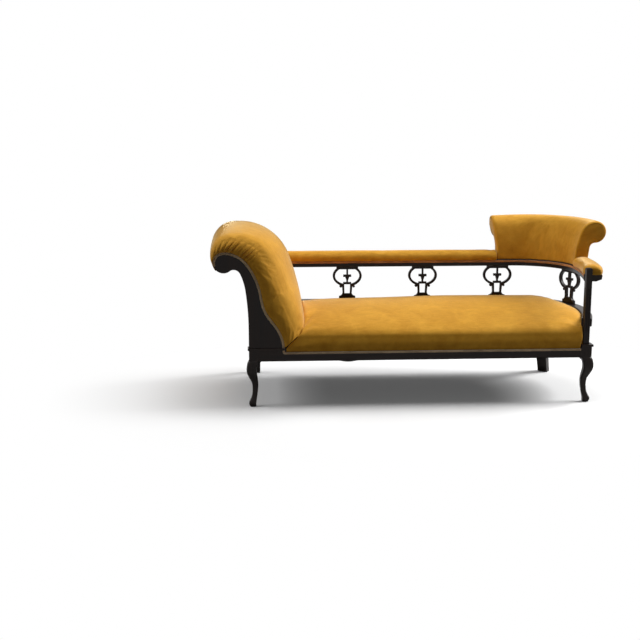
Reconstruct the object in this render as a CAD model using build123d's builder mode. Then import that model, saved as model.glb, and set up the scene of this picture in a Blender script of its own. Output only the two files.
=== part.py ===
from build123d import *
import os
from math import asin, cos, degrees, pi, radians, sin, sqrt

# A chaise longue with a scrolled end on the left, a low openwork back and a rounded end
# with a rolled crest on the right. X runs along the seat, Y from front to back, Z up.
# The origin lies on the floor, under the middle of the whole.

# Overall sizes, measured over the covers
overall_length = 1796.0
overall_depth = 700.0

# Clearances
soft_gap = 0.3  # soft pieces lie this far from what they rest on

# Seat frame
leg_height = 203.0  # floor to underside of the seat rails
seat_rail_height = 82.0
seat_rail_thickness = 26.0
tenon_thickness = 12.0
tenon_length = 18.0
tenon_shoulder = 9.0  # rail wood left above and below a tenon
leg_block = 46.0
block_height = 55.0
knee_projection = 11.0  # the knee stands this far before the block's face
collar_height = 9.0
collar_projection = 5.0
show_rail_height = 38.0  # bare part of the front rail
rebate_depth = 5.0

# Front legs: height, width and how far the centre swings out from the block's centre
leg_stations = [
    (0.0, 24.0, 7.0),
    (7.0, 29.0, 8.5),
    (17.0, 31.0, 9.0),
    (34.0, 26.0, 4.0),
    (74.0, 24.0, -2.5),
    (104.0, 28.0, -1.5),
    (132.0, 38.0, 6.5),
    (164.0, 44.0, 12.0),
    (188.0, 46.0, 8.0),
]
leg_corner_share = 0.28
ear_width = 16.0
ear_drop = 24.0
ear_thickness = 22.0

# Rear legs
rear_leg_width = 54.0
rear_leg_depth = 40.0
rear_foot_width = 46.0
rear_foot_depth = 34.0
rear_leg_rake = 60.0
rear_leg_turn = 35.0  # place of the right one round the corner, in degrees

# Rails of the back and the rounded end
corner_radius = 270.0
sweep_radius = 750.0
arm_sweep_radius = 1140.0  # the arm swings out past the post
arm_chamfer_width = 24.0
arm_chamfer_height = 10.0
lower_rail_gap = 48.0
lower_rail_height = 36.0
lower_rail_width = 45.0
top_rail_thickness = 31.0
top_rail_width = 76.0
rail_rounding = 4.0
rail_housing = 6.0  # rail ends let into what they meet
wedge_share = 1.25  # room left at the scroll end's foot, as a share of the rail step

# Splats
splat_height = 162.0
splat_thickness = 14.0
splat_pitch = 364.0
last_straight_splat = 58.0  # from the third splat to the start of the corner
corner_splat = 317.0  # from the start of the corner to the fourth splat
splat_ring_width = 139.0
splat_ring_height = 104.0
splat_ring_drop = 47.5  # ring centre below the top rail
splat_strap = 11.0
splat_cap_width = 104.0
splat_cap_height = 16.0
stem_width = 8.0
boss_width = 38.0
boss_height = 11.0
boss_waist = 19.0
boss_drop = 22.0  # its tapered lower part
tie_width = 38.0
tie_height = 10.0
ear_bead_radius = 6.0
ear_bead_spread = 62.0
ear_bead_drop = 51.0  # below the ring's centre
shoulder_width = 50.0
shoulder_drop = 45.0
neck_width = 44.0
neck_height = 34.0
base_width = 78.0
base_height = 16.0
window_top_width = 29.0
window_foot_width = 26.0
window_low = 29.0
splat_tenon_width = 40.0
splat_tenon_depth = 10.0
splat_tenon_thickness = 8.0

# Arm post
post_width = 26.0
post_rise = 30.0  # above the top rail
post_rounding = 8.0
post_spigot_radius = 9.0
post_spigot_length = 26.0
reed_radius = 2.6
reed_count = 3
reed_margin = 26.0

# Scroll end, drawn from the base up: (radius, turn) for arcs and (length, 0) for straights
facing_thickness = 26.0
facing_base = 153.0
scroll_heading = 94.0
scroll_sweep = [(185.0, 33.0), (40.0, 0.0), (170.0, -27.0), (30.0, 0.0), (300.0, 28.0), (125.0, 52.0)]
head_radius = 44.0
head_wrap = 42.0  # the head's round runs on past its lowest point
neck_heading = 25.0
neck_sweep = [(30.0, -90.0), (255.0, -17.0), (1200.0, -8.0)]
head_rail_radius = 30.0
middle_rail_height = 44.0
middle_rail_depth = 26.0
tacking_rail_height = 22.0
tacking_rail_depth = 40.0
tacking_rail_inset = 7.0
step_count = 24  # short steps used to find the scroll line at a height

# Padding of the scroll end: the line of its border's edge and the line of its crown, both from
# the seat up. A foot is measured from the base of the scroll line, a stretch is (length, turn).
pad_edge_foot = (54.0, 55.0)
pad_edge_heading = 108.0
pad_edge_line = [(350.0, 2.0), (205.0, 80.0)]
pad_crown_foot = (96.0, 37.0)
pad_crown_heading = 94.0
pad_crown_line = [(334.0, 16.0), (307.0, 78.0)]
pad_layers = [(0.0, 12.0, 0.0), (14.0, 3.0, 0.0), (44.0, 0.0, 0.1), (150.0, 0.0, 0.8)]
pad_lap = 6.0  # room cut below the padding's foot runs on by this much
pad_foot_room = 20.0  # hollow kept free below the padding's foot
tuck_wrap = 110.0  # round the head to where the cover ends
tuck_thickness = 9.0
cover_thickness = 3.0
sheet_thickness = 2.0
web_width = 50.0
web_thickness = 2.0
scroll_web_count = 5

# Padding on the rails
rail_pad_height = 42.0
rail_pad_overhang = 5.0
rail_pad_shoulder = 12.0

# Crest: a leaning face that rolls outwards over the rail
crest_base_inner = 33.0
crest_face_radius = 455.0
crest_face_turn = 20.0
crest_shoulder_radius = 70.5
crest_roll_radius = 50.0
crest_roll_wrap = 90.0
crest_cove_radius = 24.0
crest_start = -67.0  # along the rail, from the start of the corner
crest_end_turn = 90.0
crest_board = 20.0
crest_padding = 14.0
crest_rail_radius = 16.0
crest_upright_count = 2

# Seat
seat_edge_rise = 15.0  # front edge above the seat rails, where the roll begins
seat_roll_radius = 50.0
seat_roll_angle = 65.0
seat_crown_rise = 125.0
seat_crown_place = 0.58  # share of the depth
seat_back_rise = 88.0
seat_swell = [(0.0, 0.9), (0.35, 1.0), (0.75, 0.97), (0.92, 0.78), (1.0, 0.6)]  # along the seat
cross_rail_height = 40.0
cross_rail_thickness = 26.0
corner_block_leg = 62.0
corner_block_height = 44.0
corner_block_face = 12.0
screw_radius = 2.2
screw_length = 40.0
screw_inset = 4.0

# Seat springing
spring_radius = 36.0
spring_wire = 1.9
spring_turns = 4
spring_rows = 3
spring_row_pitch = 150.0
spring_columns = 6
spring_column_pitch = 180.0
spring_field_x = 30.0
spring_field_y = -50.0
web_rows = 4
web_row_pitch = 112.0
web_columns = 9
web_column_pitch = 132.0
hessian_thickness = 1.2

# Trim and pegs
gimp_width = 9.0
gimp_thickness = 2.4
gimp_margin = 1.0  # from the facing's edge
dowel_radius = 5.0
dowel_length = 40.0
crest_dowel_length = 26.0

# Levels
rail_top = leg_height + seat_rail_height
block_top = leg_height + block_height
lower_rail_low = rail_top + lower_rail_gap
lower_rail_top = lower_rail_low + lower_rail_height
top_rail_low = lower_rail_top + splat_height
top_rail_top = top_rail_low + top_rail_thickness
show_top = leg_height + show_rail_height
hessian_top = rail_top + soft_gap + hessian_thickness
cover_inset = cover_thickness + soft_gap

# The crest's reach beyond the rail's middle line follows from its own arcs
lean = radians(90.0 - crest_face_turn)
crest_reach = (crest_face_radius * (1.0 - sin(lean)) - crest_base_inner
               + crest_shoulder_radius * sin(lean) + crest_roll_radius)

# Middle line of the back and end rails: straight, a corner, then a long sweep to the post
front_face = -overall_depth / 2 + knee_projection
front_leg_y = front_face + leg_block / 2
back_line = overall_depth / 2 - crest_reach
end_line = overall_length / 2 - crest_reach
corner_x = end_line - corner_radius
corner_y = back_line - corner_radius
sweep_x = end_line - sweep_radius
corner_length = corner_radius * pi / 2
post_swing = asin((corner_y - front_leg_y) / sweep_radius)
post_x = sweep_x + sweep_radius * cos(post_swing)
post_length = corner_length + sweep_radius * post_swing
rail_stop = post_length - post_width / 2
arm_swing = asin((corner_y - front_leg_y) / arm_sweep_radius)
arm_stop = corner_length + arm_sweep_radius * arm_swing - post_width / 2
rear_leg_length = corner_radius * radians(rear_leg_turn)
crest_stop = corner_radius * radians(crest_end_turn)


def rail_plane(length, sweep=sweep_radius):
    """Upright plane across the rail line, drawn as (outwards, up)."""
    if length <= 0:
        spot = (corner_x + length, back_line)
        out = (0.0, 1.0)
    elif length <= corner_length:
        turn = length / corner_radius
        out = (sin(turn), cos(turn))
        spot = (corner_x + corner_radius * out[0], corner_y + corner_radius * out[1])
    else:
        turn = (length - corner_length) / sweep
        out = (cos(turn), -sin(turn))
        spot = (end_line - sweep + sweep * out[0], corner_y + sweep * out[1])
    return Plane(origin=(*spot, 0.0), x_dir=(*out, 0.0), z_dir=(out[1], -out[0], 0.0))


def follow_rail(section, start, stop, mode=Mode.ADD, sweep=sweep_radius):
    """Carry a section along the rail line from one length to another."""
    if start < 0:
        with BuildSketch(rail_plane(start)) as shape:
            section()
        extrude(shape.sketch, amount=min(stop, 0.0) - start, mode=mode)
    bends = [(0.0, corner_length, corner_x, corner_radius),
             (corner_length, max(stop, corner_length), end_line - sweep, sweep)]
    for low, high, centre_x, radius in bends:
        first = max(start, low)
        last = min(stop, high)
        if last > first:
            with BuildSketch(rail_plane(first, sweep)) as shape:
                section()
            axis = Axis((centre_x, corner_y, 0.0), (0.0, 0.0, -1.0))
            revolve(shape.sketch, axis=axis, revolution_arc=degrees((last - first) / radius), mode=mode)


def bar(inner, outer, low, high):
    """Rectangle given by its four edges."""
    with Locations(((inner + outer) / 2, (low + high) / 2)):
        Rectangle(outer - inner, high - low)


def rounded_bar(width, low, high):
    """Rail section with eased corners."""
    with Locations((0.0, (low + high) / 2)):
        RectangleRounded(width, high - low, rail_rounding)


def block_between(low, high):
    """Box from one corner to the opposite one."""
    size = [high[i] - low[i] for i in range(3)]
    with Locations(tuple((high[i] + low[i]) / 2 for i in range(3))):
        Box(*size)


def direction(heading):
    return Vector(cos(radians(heading)), sin(radians(heading)))


def walk(start, heading, stretches):
    """End of a run of arcs and straights."""
    spot = Vector(*start)
    for size, turn in stretches:
        if turn == 0:
            spot = spot + direction(heading) * size
        else:
            side = 1.0 if turn > 0 else -1.0
            centre = spot + direction(heading + side * 90.0) * size
            heading = heading + turn
            spot = centre - direction(heading + side * 90.0) * size
    return spot


def draw_run(start, heading, stretches, outset=0.0):
    """Draw a run of arcs and straights, moved to its right by the outset."""
    spot = Vector(*start) + direction(heading - 90.0) * outset
    for size, turn in stretches:
        if turn == 0:
            piece = Line(spot, spot + direction(heading) * size)
        else:
            radius = size + outset if turn > 0 else size - outset
            piece = JernArc(spot, direction(heading), radius, turn)
        heading = heading + turn
        spot = piece @ 1
    return spot


# Scroll end line: its head, first from the outer face of the left leg's block
scroll_rise = walk((0.0, 0.0), scroll_heading, scroll_sweep)
tuck_radius = head_radius + tuck_thickness
head_drop = scroll_rise - Vector(0.0, head_radius)
tuck_spot = head_drop + direction(90.0 + tuck_wrap) * tuck_radius


def pad_line(share):
    """Foot, heading and arcs of the padding's outer line, between its edge and its crown."""
    foot = Vector(*pad_edge_foot) * (1.0 - share) + Vector(*pad_crown_foot) * share
    heading = pad_edge_heading + (pad_crown_heading - pad_edge_heading) * share
    arcs = []
    for edge, crown in zip(pad_edge_line, pad_crown_line):
        length = edge[0] + (crown[0] - edge[0]) * share
        turn = edge[1] + (crown[1] - edge[1]) * share
        arcs.append((length / radians(turn), turn))
    return foot, heading, arcs


def line_end(heading, stretches):
    """Heading at the end of a run."""
    return heading + sum(turn for size, turn in stretches)


# The crown's last arc turns down round the head, and is the furthest left of all
crown_foot, crown_heading, crown_arcs = pad_line(1.0)
crown_end = walk(crown_foot, crown_heading, crown_arcs)
crown_left = direction(line_end(crown_heading, crown_arcs) + 90.0)
crown_way = tuck_spot - crown_end
crown_radius = crown_way.dot(crown_way) / (2.0 * crown_way.dot(crown_left))
facing_end = -overall_length / 2 + crown_radius - (crown_end + crown_left * crown_radius).X
block_face = facing_end - facing_base
left_leg_x = block_face + leg_block / 2
scroll_base = Vector(facing_end, block_top)
head_centre = scroll_base + head_drop
rear_face = back_line + facing_thickness / 2
splat_lengths = [-last_straight_splat - splat_pitch * i for i in (2, 1, 0)] + [corner_splat]
right_block_face = post_x - leg_block / 2

os.makedirs("parts", exist_ok=True)


def keep(build, name):
    """Name a finished piece and write it out."""
    build.part.label = name
    export_step(build.part, "parts/" + name + ".step")


def scroll_plane(y):
    """Upright plane across the seat's depth, drawn as (along, up)."""
    return Plane.XZ.offset(-y)


# Splats: a wide ring hung from a flat cap, a stem with a boss in it, and an open neck on a foot
def splat_foot():
    """Neck that spreads out to the foot on the lower rail."""
    ring_foot = splat_height - splat_ring_drop - shoulder_drop
    with BuildLine() as outline:
        Polyline((-neck_width / 2, neck_height), (-shoulder_width / 2, ring_foot),
                 (shoulder_width / 2, ring_foot), (neck_width / 2, neck_height))
        TangentArc((neck_width / 2, neck_height), (base_width / 2, base_height), tangent=(0.0, -1.0))
        Polyline((base_width / 2, base_height), (base_width / 2, 0.0),
                 (-base_width / 2, 0.0), (-base_width / 2, base_height))
        TangentArc((-neck_width / 2, neck_height), (-base_width / 2, base_height), tangent=(0.0, -1.0))
    make_face(outline.edges())


with BuildPart() as splat_blank:
    with BuildSketch() as fret:
        splat_foot()
        with Locations((0.0, splat_height - splat_ring_drop)):
            Ellipse(splat_ring_width / 2, splat_ring_height / 2)
            with GridLocations(ear_bead_spread, 0.0, 2, 1):
                with Locations((0.0, -ear_bead_drop)):
                    Circle(ear_bead_radius)
            eye_foot = splat_strap - splat_ring_height / 2
            Ellipse(splat_ring_width / 2 - splat_strap, -eye_foot, mode=Mode.SUBTRACT)
            Rectangle(stem_width, -2.0 * eye_foot)
            Polygon((-boss_width / 2, boss_height / 2), (-boss_width / 2, -boss_height / 2),
                    (-boss_waist / 2, -boss_height / 2), (-stem_width / 2, -boss_drop),
                    (stem_width / 2, -boss_drop), (boss_waist / 2, -boss_height / 2),
                    (boss_width / 2, -boss_height / 2), (boss_width / 2, boss_height / 2), align=None)
            with Locations((0.0, eye_foot + tie_height / 2)):
                Rectangle(tie_width, tie_height)
            window_drop = splat_height - splat_ring_drop - window_low
            Polygon((-window_top_width / 2, eye_foot), (-window_foot_width / 2, -window_drop),
                    (window_foot_width / 2, -window_drop), (window_top_width / 2, eye_foot),
                    align=None, mode=Mode.SUBTRACT)
        with Locations((0.0, splat_height - splat_cap_height / 2)):
            Rectangle(splat_cap_width, splat_cap_height)
        with Locations((0.0, splat_height + splat_ring_height / 2)):
            Rectangle(2 * splat_ring_width, splat_ring_height, mode=Mode.SUBTRACT)
    extrude(amount=splat_thickness / 2, both=True)
    with BuildSketch():
        with Locations((0.0, splat_height / 2)):
            Rectangle(splat_tenon_width, splat_height + 2 * splat_tenon_depth)
        with Locations((0.0, splat_height / 2)):
            Rectangle(splat_tenon_width, splat_height, mode=Mode.SUBTRACT)
    extrude(amount=splat_tenon_thickness / 2, both=True)


def splat_place(length):
    """Upright splat across the rail line, its foot on the lower rail."""
    across = rail_plane(length)
    foot = across.origin + Vector(0.0, 0.0, lower_rail_top)
    return Plane(origin=foot, x_dir=across.z_dir, z_dir=-across.x_dir).location


splats = []
for number, length in enumerate(splat_lengths, 1):
    with BuildPart() as splat:
        with Locations(splat_place(length)):
            add(splat_blank.part)
    keep(splat, "back_splat_" + str(number))
    splats.append(splat.part)


def scroll_x(level):
    """Place of the scroll line at a height, found in short steps up from the base."""
    spot = scroll_base
    heading = scroll_heading
    for size, turn in scroll_sweep:
        for step in range(step_count):
            last = spot
            if turn == 0:
                spot = walk(spot, heading, [(size / step_count, 0.0)])
            else:
                spot = walk(spot, heading, [(size, turn / step_count)])
                heading = heading + turn / step_count
            if spot.Y >= level:
                share = (level - last.Y) / (spot.Y - last.Y)
                return last.X + share * (spot.X - last.X)
    return spot.X


# Pegs: upright ones under the facings and the crest boards, lengthwise ones where rails meet
facing_front_y = front_face + facing_thickness / 2
wedge_start = facing_end + (rail_top - block_top) * wedge_share
crest_boards = [crest_start + cover_thickness + soft_gap + crest_board / 2]
crest_boards.append(crest_stop - cover_thickness - soft_gap - crest_board / 2)
crest_pitch = (crest_boards[1] - crest_boards[0]) / (crest_upright_count + 1)
crest_uprights = [crest_boards[0] + crest_pitch * (i + 1) for i in range(crest_upright_count)]

with BuildPart() as frame_dowels:
    for x in (left_leg_x, facing_end - leg_block):
        with Locations((x, facing_front_y, block_top), (x, back_line, block_top)):
            Cylinder(dowel_radius, dowel_length)
    for level in (lower_rail_top - lower_rail_height / 2, top_rail_top - top_rail_thickness / 2):
        with Locations((corner_x, back_line, level)):
            Cylinder(dowel_radius, dowel_length, rotation=(0.0, 90.0, 0.0))
    with Locations(rail_plane(rear_leg_length).origin + Vector(0.0, 0.0, lower_rail_low)):
        Cylinder(dowel_radius, dowel_length)
    for length in crest_boards + crest_uprights:
        with Locations(rail_plane(length).origin + Vector(0.0, 0.0, top_rail_top)):
            Cylinder(dowel_radius, crest_dowel_length)
keep(frame_dowels, "frame_dowels")

# Arm post: a reeded square post that stands on the right front leg
with BuildPart() as post_blank:
    with BuildSketch(Plane.XY.offset(block_top)):
        with Locations((post_x, front_leg_y)):
            Rectangle(post_width, post_width)
    extrude(amount=top_rail_top + post_rise - block_top)
    fillet(post_blank.faces().sort_by(Axis.Z)[-1].edges(), post_rounding)
    with Locations((post_x, front_leg_y, block_top - post_spigot_length / 2)):
        Cylinder(post_spigot_radius, post_spigot_length)


# Top rail of the back, and the curved arm rail that goes on from it to the post
def rail_tenon(low, high, shift=0.0):
    """Section of the tongue at a rail's end."""
    half = tenon_thickness / 2
    bar(shift - half, shift + half, low + tenon_shoulder, high - tenon_shoulder)


def straight_rail(width, low, high):
    """Rail from the scroll end's rear facing to the start of the corner."""
    left = scroll_x((low + high) / 2) - corner_x
    follow_rail(lambda: rounded_bar(width, low, high), left, 0.0)
    follow_rail(lambda: rail_tenon(low, high), left - tenon_length, left)
    add(splats, mode=Mode.SUBTRACT)
    add(frame_dowels.part, mode=Mode.SUBTRACT)


def curved_rail(width, low, high, stop, sweep, shift=0.0):
    """Rail from the start of the corner round to the post; the shift moves its end tenon."""
    follow_rail(lambda: rounded_bar(width, low, high), 0.0, stop + rail_housing, sweep=sweep)
    add(post_blank.part, mode=Mode.SUBTRACT)
    follow_rail(lambda: rail_tenon(low, high, shift), stop - rail_housing, stop + tenon_length, sweep=sweep)
    add(splats, mode=Mode.SUBTRACT)
    add(frame_dowels.part, mode=Mode.SUBTRACT)


with BuildPart() as top_back_rail:
    straight_rail(top_rail_width, top_rail_low, top_rail_top)
keep(top_back_rail, "top_back_rail")


def arm_chamfer():
    """What is planed off the arm's outer lower edge."""
    outer = top_rail_width / 2
    Polygon((outer - arm_chamfer_width, top_rail_low), (outer, top_rail_low),
            (outer, top_rail_low + arm_chamfer_height), align=None)


with BuildPart() as arm_rail:
    arm_shift = post_x - rail_plane(arm_stop, arm_sweep_radius).origin.X
    curved_rail(top_rail_width, top_rail_low, top_rail_top, arm_stop, arm_sweep_radius, arm_shift)
    follow_rail(arm_chamfer, crest_stop, arm_stop + rail_housing, Mode.SUBTRACT, arm_sweep_radius)
keep(arm_rail, "arm_rail")

with BuildPart() as lower_back_rail:
    straight_rail(lower_rail_width, lower_rail_low, lower_rail_top)
keep(lower_back_rail, "lower_back_rail")

with BuildPart() as lower_end_rail:
    curved_rail(lower_rail_width, lower_rail_low, lower_rail_top, rail_stop, sweep_radius)
keep(lower_end_rail, "lower_end_rail")

with BuildPart() as arm_post:
    add(post_blank.part)
    reed_length = top_rail_low - rail_top - 2 * reed_margin
    reed_pitch = post_width / reed_count
    with Locations((post_x, front_leg_y, (top_rail_low + rail_top) / 2)):
        for side in (-1, 1):
            with Locations((side * post_width / 2, 0.0, 0.0)):
                with GridLocations(0.0, reed_pitch, 1, reed_count - 1):
                    Cylinder(reed_radius, reed_length, mode=Mode.SUBTRACT)
        with Locations((0.0, -post_width / 2, 0.0)):
            with GridLocations(reed_pitch, 0.0, reed_count - 1, 1):
                Cylinder(reed_radius, reed_length, mode=Mode.SUBTRACT)
    add(arm_rail.part, mode=Mode.SUBTRACT)
    add(lower_end_rail.part, mode=Mode.SUBTRACT)
keep(arm_post, "arm_post")

# Seat rails
half_rail = seat_rail_thickness / 2
left_block_edge = left_leg_x + leg_block / 2
rear_leg_edge = left_leg_x + rear_leg_width / 2
block_back = front_leg_y + leg_block / 2
end_rail_stop = corner_length + sweep_radius * asin((corner_y - block_back) / sweep_radius)
tongue = tenon_thickness / 2
inner_front = front_face + seat_rail_thickness
inner_back = back_line - half_rail

corner_spots = [
    (left_leg_x + leg_block / 2, inner_front, 1, 1),
    (right_block_face, inner_front, -1, 1),
    (rear_leg_edge, inner_back, 1, -1),
]

with BuildPart() as corner_screws:
    for x, y, along, inward in corner_spots:
        middle = leg_height + corner_block_height / 2
        with Locations((x + along * corner_block_leg / 2, y + inward * screw_inset, middle)):
            Cylinder(screw_radius, screw_length, rotation=(90.0, 0.0, 0.0))
keep(corner_screws, "corner_screws")

with BuildPart() as front_seat_rail:
    block_between((left_block_edge, front_face, leg_height),
                  (right_block_face, front_face + seat_rail_thickness, block_top))
    block_between((wedge_start, front_face + rebate_depth, block_top),
                  (right_block_face, front_face + seat_rail_thickness, rail_top))
    with Locations(((facing_end + right_block_face) / 2, front_face, (show_top + block_top) / 2)):
        Box(right_block_face - facing_end, 2 * rebate_depth, block_top - show_top, mode=Mode.SUBTRACT)
    block_between((left_block_edge - tenon_length, facing_front_y - tongue, leg_height + tenon_shoulder),
                  (right_block_face + tenon_length, facing_front_y + tongue, show_top - tenon_shoulder))
    add([frame_dowels.part, corner_screws.part], mode=Mode.SUBTRACT)
keep(front_seat_rail, "front_seat_rail")

with BuildPart() as back_seat_rail:
    back_stop = rear_leg_length - rear_leg_width / 2
    back_left = rear_leg_edge - corner_x
    follow_rail(lambda: bar(-half_rail, half_rail, leg_height, block_top),
                back_left, back_stop + rail_housing)
    follow_rail(lambda: bar(-half_rail, half_rail, block_top, rail_top),
                wedge_start - corner_x, back_stop + rail_housing)
    follow_rail(lambda: rail_tenon(leg_height, block_top), back_left - tenon_length, back_left)
    add([frame_dowels.part, corner_screws.part], mode=Mode.SUBTRACT)
keep(back_seat_rail, "back_seat_rail")

with BuildPart() as left_end_seat_rail:
    rear_leg_front = back_line - rear_leg_depth / 2
    block_between((left_leg_x - half_rail, block_back, leg_height),
                  (left_leg_x + half_rail, rear_leg_front, block_top))
    block_between((left_leg_x - tongue, block_back - tenon_length / 2, leg_height + tenon_shoulder),
                  (left_leg_x + tongue, rear_leg_front + tenon_length / 2, block_top - tenon_shoulder))
keep(left_end_seat_rail, "left_end_seat_rail")

with BuildPart() as right_end_seat_rail:
    end_left = rear_leg_length + rear_leg_width / 2 - rail_housing
    follow_rail(lambda: bar(-half_rail, half_rail, leg_height, block_top),
                end_left, end_rail_stop + rail_housing)
    follow_rail(lambda: bar(-half_rail, half_rail, block_top, rail_top), end_left, end_rail_stop)
    follow_rail(lambda: rail_tenon(leg_height, block_top), end_rail_stop, end_rail_stop + tenon_length)
    add(post_blank.part, mode=Mode.SUBTRACT)
keep(right_end_seat_rail, "right_end_seat_rail")


# Front legs: a cabriole under a square block with a small moulded collar
def cabriole(x, side):
    """Leg that swings outwards and forwards; side is -1 on the left and 1 on the right."""
    stations = leg_stations + [(leg_height, leg_block, 0.0)]
    sections = []
    for height, width, swing in stations:
        with BuildSketch(Plane.XY.offset(height)) as section:
            with Locations((x + side * swing, front_leg_y - swing)):
                RectangleRounded(width, width, width * leg_corner_share)
        sections.append(section.sketch)
    loft(sections)
    with Locations((x, front_leg_y, leg_height + block_height / 2)):
        Box(leg_block, leg_block, block_height)
    lean_out = collar_projection / 2
    with Locations((x + side * lean_out, front_leg_y - lean_out, block_top - collar_height / 2)):
        Box(leg_block + collar_projection, leg_block + collar_projection, collar_height)


with BuildPart() as front_left_leg:
    cabriole(left_leg_x, -1)
    add(front_seat_rail.part, mode=Mode.SUBTRACT)
    add(left_end_seat_rail.part, mode=Mode.SUBTRACT)
    add(frame_dowels.part, mode=Mode.SUBTRACT)
keep(front_left_leg, "front_left_leg")

with BuildPart() as front_right_leg:
    cabriole(post_x, 1)
    add(front_seat_rail.part, mode=Mode.SUBTRACT)
    add(right_end_seat_rail.part, mode=Mode.SUBTRACT)
    add(arm_post.part, mode=Mode.SUBTRACT)
keep(front_right_leg, "front_right_leg")

# Small brackets that carry the knee's line up under the front rail
with BuildPart() as knee_ears:
    with BuildSketch(scroll_plane(front_face + ear_thickness)):
        for x, side in ((left_block_edge, 1), (right_block_face, -1)):
            with BuildLine() as ear:
                Line((x, leg_height), (x + side * ear_width, leg_height))
                TangentArc((x + side * ear_width, leg_height), (x, leg_height - ear_drop),
                           tangent=(-side, 0.0))
                Line((x, leg_height - ear_drop), (x, leg_height))
            make_face()
    extrude(amount=ear_thickness)
    add(front_left_leg.part, mode=Mode.SUBTRACT)
    add(front_right_leg.part, mode=Mode.SUBTRACT)
keep(knee_ears, "knee_ears")


# Rear legs: square, tapered and raked back
def raked_leg(place, top):
    """Leg across the rail line: an upright stump with a tapering foot below the rails."""
    sections = []
    feet = [(0.0, rear_foot_width, rear_foot_depth, rear_leg_rake),
            (leg_height, rear_leg_width, rear_leg_depth, 0.0)]
    for height, width, depth, rake in feet:
        spot = place.origin + Vector(0.0, 0.0, height)
        level = Plane(origin=spot, x_dir=place.x_dir, z_dir=(0.0, 0.0, 1.0))
        with BuildSketch(level) as section:
            with Locations((rake, 0.0)):
                Rectangle(depth, width)
        sections.append(section.sketch)
    loft(sections)
    extrude(sections[1], amount=top - leg_height)


with BuildPart() as rear_left_leg:
    raked_leg(rail_plane(left_leg_x - corner_x), block_top)
    add(back_seat_rail.part, mode=Mode.SUBTRACT)
    add(left_end_seat_rail.part, mode=Mode.SUBTRACT)
    add(frame_dowels.part, mode=Mode.SUBTRACT)
keep(rear_left_leg, "rear_left_leg")

with BuildPart() as rear_right_leg:
    raked_leg(rail_plane(rear_leg_length), lower_rail_low)
    add(back_seat_rail.part, mode=Mode.SUBTRACT)
    add(right_end_seat_rail.part, mode=Mode.SUBTRACT)
    add(frame_dowels.part, mode=Mode.SUBTRACT)
keep(rear_right_leg, "rear_right_leg")

# Braces inside the seat frame
with BuildPart() as seat_cross_rails:
    with Locations((spring_field_x, (inner_front + inner_back) / 2, leg_height + cross_rail_height / 2)):
        with GridLocations(2 * spring_column_pitch, 0.0, 2, 1):
            Box(cross_rail_thickness, inner_back - inner_front, cross_rail_height)
keep(seat_cross_rails, "seat_cross_rails")

with BuildPart() as corner_blocks:
    with BuildSketch(Plane.XY.offset(leg_height)):
        for x, y, along, inward in corner_spots:
            with BuildLine():
                Polyline((x, y), (x + along * corner_block_leg, y),
                         (x + along * corner_block_face, y + inward * corner_block_leg),
                         (x, y + inward * corner_block_leg), close=True)
            make_face()
    extrude(amount=corner_block_height)
    add(corner_screws.part, mode=Mode.SUBTRACT)
    add([front_left_leg.part, front_right_leg.part, rear_left_leg.part], mode=Mode.SUBTRACT)
    add([left_end_seat_rail.part, right_end_seat_rail.part], mode=Mode.SUBTRACT)
keep(corner_blocks, "corner_blocks")

# Scroll end frame: two show-wood facings held apart by three rails
neck_start = walk(scroll_base, scroll_heading, scroll_sweep + [(head_radius, 180.0 + head_wrap)])
neck_drop = walk(neck_start, neck_heading, neck_sweep).Y - block_top
neck_line = neck_sweep + [(neck_drop, 0.0)]


def facing_outline():
    """Outer scroll line, round head and hollowed neck, closed along the base."""
    head = [(head_radius, 90.0), (head_radius, 90.0), (head_radius, head_wrap)]
    with BuildLine() as outline:
        cusp = draw_run(scroll_base, scroll_heading, scroll_sweep + head)
        low = draw_run(cusp, neck_heading, neck_line)
        Line(low, scroll_base)
    make_face(outline.edges())


with BuildPart() as scroll_end_front_facing:
    with BuildSketch(scroll_plane(front_face)):
        facing_outline()
    extrude(amount=-facing_thickness)
    add(frame_dowels.part, mode=Mode.SUBTRACT)
keep(scroll_end_front_facing, "scroll_end_front_facing")

with BuildPart() as scroll_end_rear_facing:
    with BuildSketch(scroll_plane(back_line - facing_thickness / 2)):
        facing_outline()
    extrude(amount=-facing_thickness)
    add([frame_dowels.part, top_back_rail.part, lower_back_rail.part], mode=Mode.SUBTRACT)
keep(scroll_end_rear_facing, "scroll_end_rear_facing")

with BuildPart() as scroll_base_bead:
    block_between((left_block_edge, front_face - collar_projection, block_top - collar_height),
                  (facing_end, front_face, block_top))
keep(scroll_base_bead, "scroll_base_bead")

facing_inner = front_face + facing_thickness
rear_facing_front = back_line - facing_thickness / 2
facing_span = rear_facing_front - facing_inner
facing_middle = (rear_facing_front + facing_inner) / 2

with BuildPart() as scroll_end_head_rail:
    with Locations((head_centre.X, facing_middle, head_centre.Y)):
        Cylinder(head_rail_radius, facing_span, rotation=(90.0, 0.0, 0.0))
keep(scroll_end_head_rail, "scroll_end_head_rail")

with BuildPart() as scroll_end_middle_rail:
    steep = scroll_heading + sum(turn for size, turn in scroll_sweep[:4])
    spot = walk(scroll_base, scroll_heading, scroll_sweep[:3] + [(scroll_sweep[3][0] / 2, 0.0)])
    spot = spot + direction(steep + 90.0) * (middle_rail_depth / 2 + web_thickness + 2 * soft_gap)
    with BuildSketch(scroll_plane(facing_inner)):
        with Locations(spot):
            Rectangle(middle_rail_height, middle_rail_depth, rotation=steep)
    extrude(amount=-facing_span)
keep(scroll_end_middle_rail, "scroll_end_middle_rail")

with BuildPart() as scroll_end_tacking_rail:
    block_between((facing_end - tacking_rail_inset - tacking_rail_depth, facing_inner, block_top),
                  (facing_end - tacking_rail_inset, rear_facing_front, block_top + tacking_rail_height))
keep(scroll_end_tacking_rail, "scroll_end_tacking_rail")


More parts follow.
